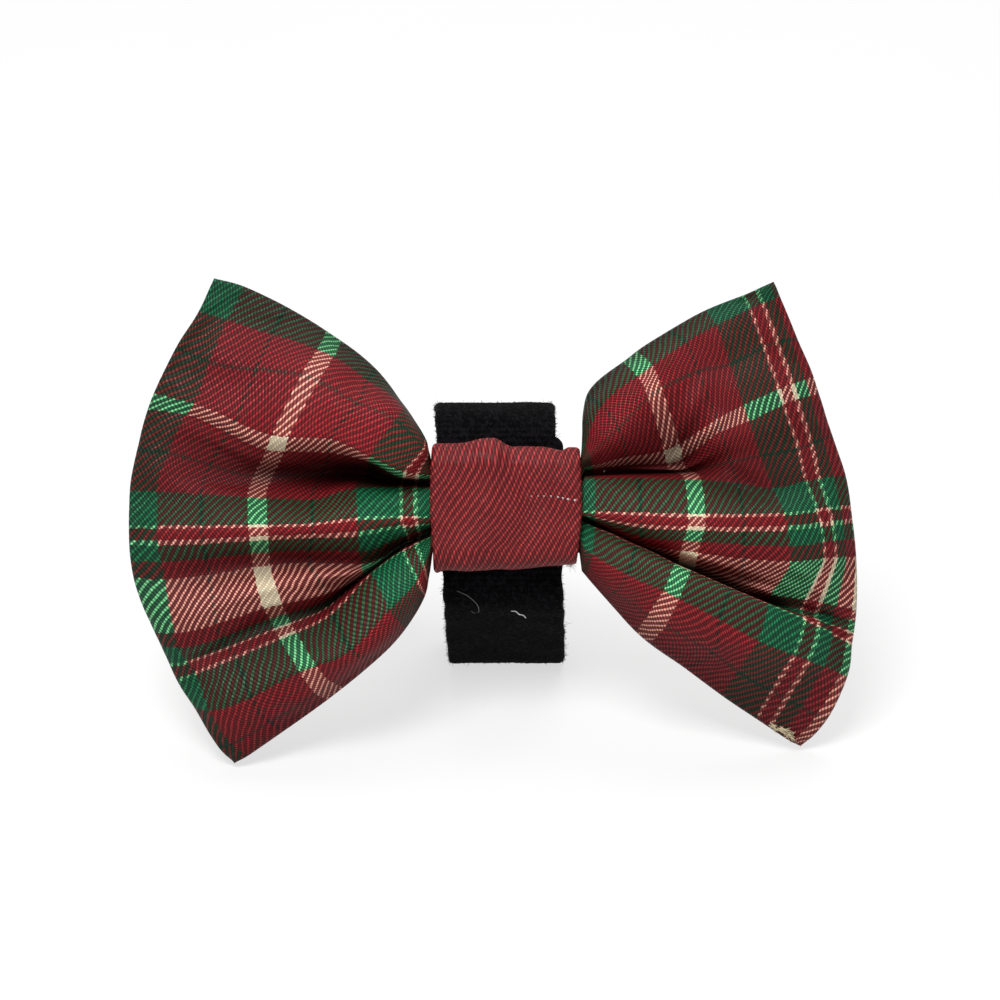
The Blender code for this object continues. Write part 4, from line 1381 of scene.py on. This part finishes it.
def black_strap(look):
    """Brushed black elastic: clumped pile with paler tips, and knit rows that show near the knot."""
    made, tree, shader = new_material("black_strap", 0.95, 0.03, 0.5, 0.06)
    place = cloth_place(tree)
    parts = tree.nodes.new("ShaderNodeSeparateXYZ")
    tree.links.new(place, parts.inputs[0])
    upright = vector_node(tree, "MULTIPLY", place, BRUSHED_ALONG).outputs[0]
    pile = noise(tree, upright, 3.2, 4.0, 0.8)
    tufts = noise(tree, upright, 1.1, 3.0, 0.6)
    patch = noise(tree, place, 0.16, 2.0)
    turned = math_node(tree, "MULTIPLY", parts.outputs[1], 2 * math.pi / KNIT_ROW)
    wavy = math_node(tree, "MULTIPLY_ADD", tufts, 3.0, turned)
    rows = math_node(tree, "MULTIPLY_ADD", math_node(tree, "SINE", wavy), 0.5, 0.5)
    rows = math_node(tree, "MULTIPLY", rows, stored(tree, "worn"))
    height = math_node(tree, "MULTIPLY_ADD", rows, 0.16, math_node(tree, "ADD", pile, tufts))
    tipped = math_node(tree, "MULTIPLY_ADD", patch, 0.3, height)
    colour = mix_colour(tree, map_range(tree, tipped, 1.14, 1.34), look.black, look.pile)
    tree.links.new(colour, shader.inputs["Base Color"])
    bump(tree, shader, height, 0.9, 0.0004)
    return made


# Soft boxes: name, place in metres, side in metres and share of the key light's power. The walls give
# this much light, though the camera sees them white, and so does the floor's glow.

SOFT_BOXES = (
    ("key_box", (-0.16, -0.36, 0.86), 0.34, 1.0),
    ("top_box", (0.1, 0.40, 0.85), 0.6, 0.45),
)
ROOM_LIGHT = 0.34
FLOOR_GLOW = 0.64
FLOOR_GLOW_SHARE = (0.45, 0.45, 0.45, 1)


def area_light(name, where, aim, size, power):
    """A square soft box at a place in metres, turned to face its aim."""
    data = bpy.data.lights.new(name, "AREA")
    data.shape = "RECTANGLE"
    data.size = data.size_y = size
    data.energy = power
    lamp = bpy.data.objects.new(name, data)
    bpy.context.scene.collection.objects.link(lamp)
    lamp.location = where
    look = np.asarray(aim, float) - np.asarray(where, float)
    look /= np.linalg.norm(look)
    pitch = math.acos(max(-1.0, min(1.0, -look[2])))
    yaw = math.atan2(look[1], look[0]) - math.pi / 2
    lamp.rotation_euler = (pitch, 0, yaw)


def make_camera():
    """The photograph's camera: square on to the bow's own plane, above and in front of it."""
    data = bpy.data.cameras.new("camera")
    data.sensor_width = SENSOR
    data.sensor_fit = "AUTO"
    data.lens = SENSOR * SIGHT / VIEW_WIDTH
    camera = bpy.data.objects.new("camera", data)
    bpy.context.scene.collection.objects.link(camera)
    place = np.array([[SIGHT_OFFSET[0], SIGHT_OFFSET[1], SIGHT]])
    camera.location = in_row_frame(place)[0]
    camera.rotation_euler = (math.pi / 2 - LEAN, 0, 0)
    data.clip_start = 0.01
    bpy.context.scene.camera = camera


def make_floor():
    """A wide pale floor at height 0. It glows for the camera, and less onto the object's undersides."""
    x, y = np.meshgrid(np.linspace(-3, 3, 3), np.linspace(-3, 3, 3), indexing="ij")
    points = np.stack([x, y, np.zeros_like(x)], axis=-1).reshape(-1, 3)
    floor = put_mesh("studio_floor", points, grid_faces(np.arange(9).reshape(3, 3)))
    made, tree, shader = new_material("studio_paper", 0.9, 0.0, specular=0.1)
    coords = tree.nodes.new("ShaderNodeTexCoord").outputs["Object"]
    tint = math_node(tree, "MULTIPLY_ADD", noise(tree, coords, 40.0), 0.01, 0.36)
    tree.links.new(tint, shader.inputs["Base Color"])
    seen = tree.nodes.new("ShaderNodeLightPath").outputs["Is Camera Ray"]
    glow = mix_colour(tree, seen, FLOOR_GLOW_SHARE, (1, 1, 1, 1))
    tree.links.new(glow, shader.inputs["Emission Color"])
    shader.inputs["Emission Strength"].default_value = FLOOR_GLOW
    floor.data.materials.append(made)


# The add-on's own part

class BowTieLook(PropertyGroup):
    """Sizes and colours that a user would change."""

    twill_pitch: FloatProperty(
        name="Twill pitch", description="Distance between the twill's lines, in millimetres",
        default=1.03, min=0.3, max=3.0)
    bead_pitch: FloatProperty(
        name="Bead pitch", description="Distance between the beads on a line, in millimetres",
        default=0.5, min=0.2, max=2.0)
    knot_pitch: FloatProperty(
        name="Knot twill pitch", description="The same distance on the knot band",
        default=0.908, min=0.3, max=3.0)
    red: FloatVectorProperty(
        name="Red yarn", description="Ground of the plaid", subtype="COLOR", size=4,
        default=(0.265, 0.0145, 0.018, 1), min=0, max=1)
    green: FloatVectorProperty(
        name="Green yarn", description="Broad bands of the plaid", subtype="COLOR", size=4,
        default=(0.010, 0.148, 0.056, 1), min=0, max=1)
    cream: FloatVectorProperty(
        name="Cream yarn", description="Light stripes of the plaid", subtype="COLOR", size=4,
        default=(0.78, 0.66, 0.45, 1), min=0, max=1)
    pink: FloatVectorProperty(
        name="Pale pink", description="Cream crossing red", subtype="COLOR", size=4,
        default=(0.86, 0.38, 0.28, 1), min=0, max=1)
    light_green: FloatVectorProperty(
        name="Light green", description="Cream crossing green", subtype="COLOR", size=4,
        default=(0.18, 0.62, 0.25, 1), min=0, max=1)
    line: FloatVectorProperty(
        name="Dark yarn", description="Thin lines in the red", subtype="COLOR", size=4,
        default=(0.02, 0.035, 0.02, 1), min=0, max=1)
    burgundy: FloatVectorProperty(
        name="Burgundy", description="The knot band", subtype="COLOR", size=4,
        default=(0.37, 0.039, 0.039, 1), min=0, max=1)
    black: FloatVectorProperty(
        name="Black", description="The strap's ground", subtype="COLOR", size=4,
        default=(0.0010, 0.0009, 0.0013, 1), min=0, max=1)
    pile: FloatVectorProperty(
        name="Pile", description="The strap's brushed tips", subtype="COLOR", size=4,
        default=(0.0085, 0.0078, 0.0105, 1), min=0, max=1)
    fuzz: FloatVectorProperty(
        name="Fuzz", description="Loose fibres on the strap", subtype="COLOR", size=4,
        default=(0.026, 0.024, 0.030, 1), min=0, max=1)
    thread: FloatVectorProperty(
        name="White thread", description="Stitch dots and lint", subtype="COLOR", size=4,
        default=(0.95, 0.94, 0.92, 1), min=0, max=1)
    lint: FloatVectorProperty(
        name="Grey lint", description="The hair and the fluff", subtype="COLOR", size=4,
        default=(0.42, 0.40, 0.40, 1), min=0, max=1)
    key_power: FloatProperty(
        name="Key light", description="Power of the large soft box",
        default=5.7, min=0.0, unit="POWER")


def look_now():
    """The sizes and colours set on the scene."""
    return bpy.context.scene.bow_tie


def shared_group(name, build):
    """A shader group by name, built the first time it is asked for."""
    return bpy.data.node_groups.get(name) or build()


class BOWTIE_OT_stage(Operator):
    """Camera, floor, studio lights and white surroundings"""

    bl_idname = "bow_tie.stage"
    bl_label = "Stage"

    def execute(self, context):
        make_camera()
        make_floor()
        look = look_now()
        for name, where, size, share in SOFT_BOXES:
            area_light(name, where, KNOT * MM, size, look.key_power * share)
        world = bpy.data.worlds.new("white_room")
        world.use_nodes = True
        background = world.node_tree.nodes["Background"]
        background.inputs["Color"].default_value = (1, 1, 1, 1)
        seen = world.node_tree.nodes.new("ShaderNodeLightPath").outputs["Is Camera Ray"]
        strength = math_node(world.node_tree, "MULTIPLY_ADD", seen, 1.0 - ROOM_LIGHT, ROOM_LIGHT)
        world.node_tree.links.new(strength, background.inputs["Strength"])
        context.scene.world = world
        context.scene.view_settings.view_transform = "Standard"
        return {"FINISHED"}


class BOWTIE_OT_bow(Operator):
    """The turned plaid bow: two sheets with folds that fan out from the knot"""

    bl_idname = "bow_tie.bow"
    bl_label = "Plaid bow"

    def execute(self, context):
        bow = make_bow()
        twill = shared_group("twill_weave", twill_group)
        sett = shared_group("sett_stripes", sett_group)
        shade_group = shared_group("yarn_painted_shade", painted_shade_group)
        bow.data.materials.append(plaid_twill(look_now(), twill, sett, shade_group))
        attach(bow, "root")
        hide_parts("bow")
        return {"FINISHED"}


class BOWTIE_OT_knot(Operator):
    """The plain burgundy wrap round the waist"""

    bl_idname = "bow_tie.knot"
    bl_label = "Knot band"

    def execute(self, context):
        band = make_knot_band()
        band.data.materials.append(burgundy_twill(look_now(), shared_group("twill_weave", twill_group),
                                                  shared_group("yarn_painted_shade", painted_shade_group)))
        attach(band, "root")
        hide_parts("knot_band")
        return {"FINISHED"}


class BOWTIE_OT_strap(Operator):
    """The brushed black loop and its overlapped end"""

    bl_idname = "bow_tie.strap"
    bl_label = "Strap loop"

    def execute(self, context):
        loop, end, surface = make_strap()
        finish = black_strap(look_now())
        for piece, node in ((loop, "strap_loop"), (end, "strap_end")):
            piece.data.materials.append(finish)
            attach(piece, "root")
            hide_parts(node)
        nap = make_nap(surface)
        nap.data.materials.append(thread_finish("loose_pile", look_now().fuzz, 0.9))
        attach(nap, "root")
        return {"FINISHED"}


class BOWTIE_OT_threads(Operator):
    """Stitch dots, a hair, lint and frayed threads that lie on the finished pieces"""

    bl_idname = "bow_tie.threads"
    bl_label = "Loose threads"

    def execute(self, context):
        look = look_now()
        pieces = bpy.data.objects
        for name in ("plaid_bow", "knot_wrap", "brushed_loop"):
            if name not in pieces:
                raise RuntimeError("The threads lie on " + name + ", which isn't made yet")
        bow, knot, loop = pieces["plaid_bow"], pieces["knot_wrap"], pieces["brushed_loop"]
        white = thread_finish("white_thread", look.thread, 0.6)
        grey = thread_finish("grey_lint", look.lint, 0.8)
        cream = thread_finish("cream_thread", look.cream, 0.7)
        made = (
            (make_dots(knot, THREAD_DOTS, DOT_SIZES, "stitch_dots"), white, "burgundy_twill"),
            (make_dots(bow, (LOOSE_DOT,), (0.21,), "loose_dot"), white, "plaid_twill"),
            (make_strand(loop, HAIR, 0.045, 0.25, "fine_hair"), grey, "black_strap"),
            (make_strand(loop, LINT, 0.13, 0.22, "white_lint"), white, "black_strap"),
            (make_tuft(knot, FLUFF, 60, 1.1, 0.03, 91, "knot_fluff"), grey, "burgundy_twill"),
            (make_tuft(bow, FRAYED_SEAM, 70, 1.3, 0.10, 92, "frayed_seam", 5.0), cream, "plaid_twill"),
        )
        for piece, finish, slot in made:
            piece.data.materials.append(finish)
            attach(piece, "root")
        return {"FINISHED"}


class BOWTIE_PT_sidebar(Panel):
    """Lists the pieces in the 3D view's sidebar"""

    bl_idname = "BOWTIE_PT_sidebar"
    bl_label = "Bow tie"
    bl_space_type = "VIEW_3D"
    bl_region_type = "UI"
    bl_category = "Bow tie"

    def draw(self, context):
        look = context.scene.bow_tie
        for name in BowTieLook.__annotations__:
            self.layout.prop(look, name)
        for maker in MAKERS:
            self.layout.operator(maker.bl_idname)


MAKERS = (BOWTIE_OT_stage, BOWTIE_OT_bow, BOWTIE_OT_knot, BOWTIE_OT_strap, BOWTIE_OT_threads)
CLASSES = (BowTieLook,) + MAKERS + (BOWTIE_PT_sidebar,)


def register():
    """Adds the classes and the scene's settings."""
    for each in CLASSES:
        bpy.utils.register_class(each)
    bpy.types.Scene.bow_tie = PointerProperty(type=BowTieLook)


def unregister():
    """Takes the settings and the classes away again."""
    del bpy.types.Scene.bow_tie
    for each in reversed(CLASSES):
        bpy.utils.unregister_class(each)


def main():
    """Makes every piece in order."""
    register()
    bpy.ops.bow_tie.stage()
    bpy.ops.bow_tie.bow()
    bpy.ops.bow_tie.knot()
    bpy.ops.bow_tie.strap()
    bpy.ops.bow_tie.threads()


if __name__ == "__main__":
    main()
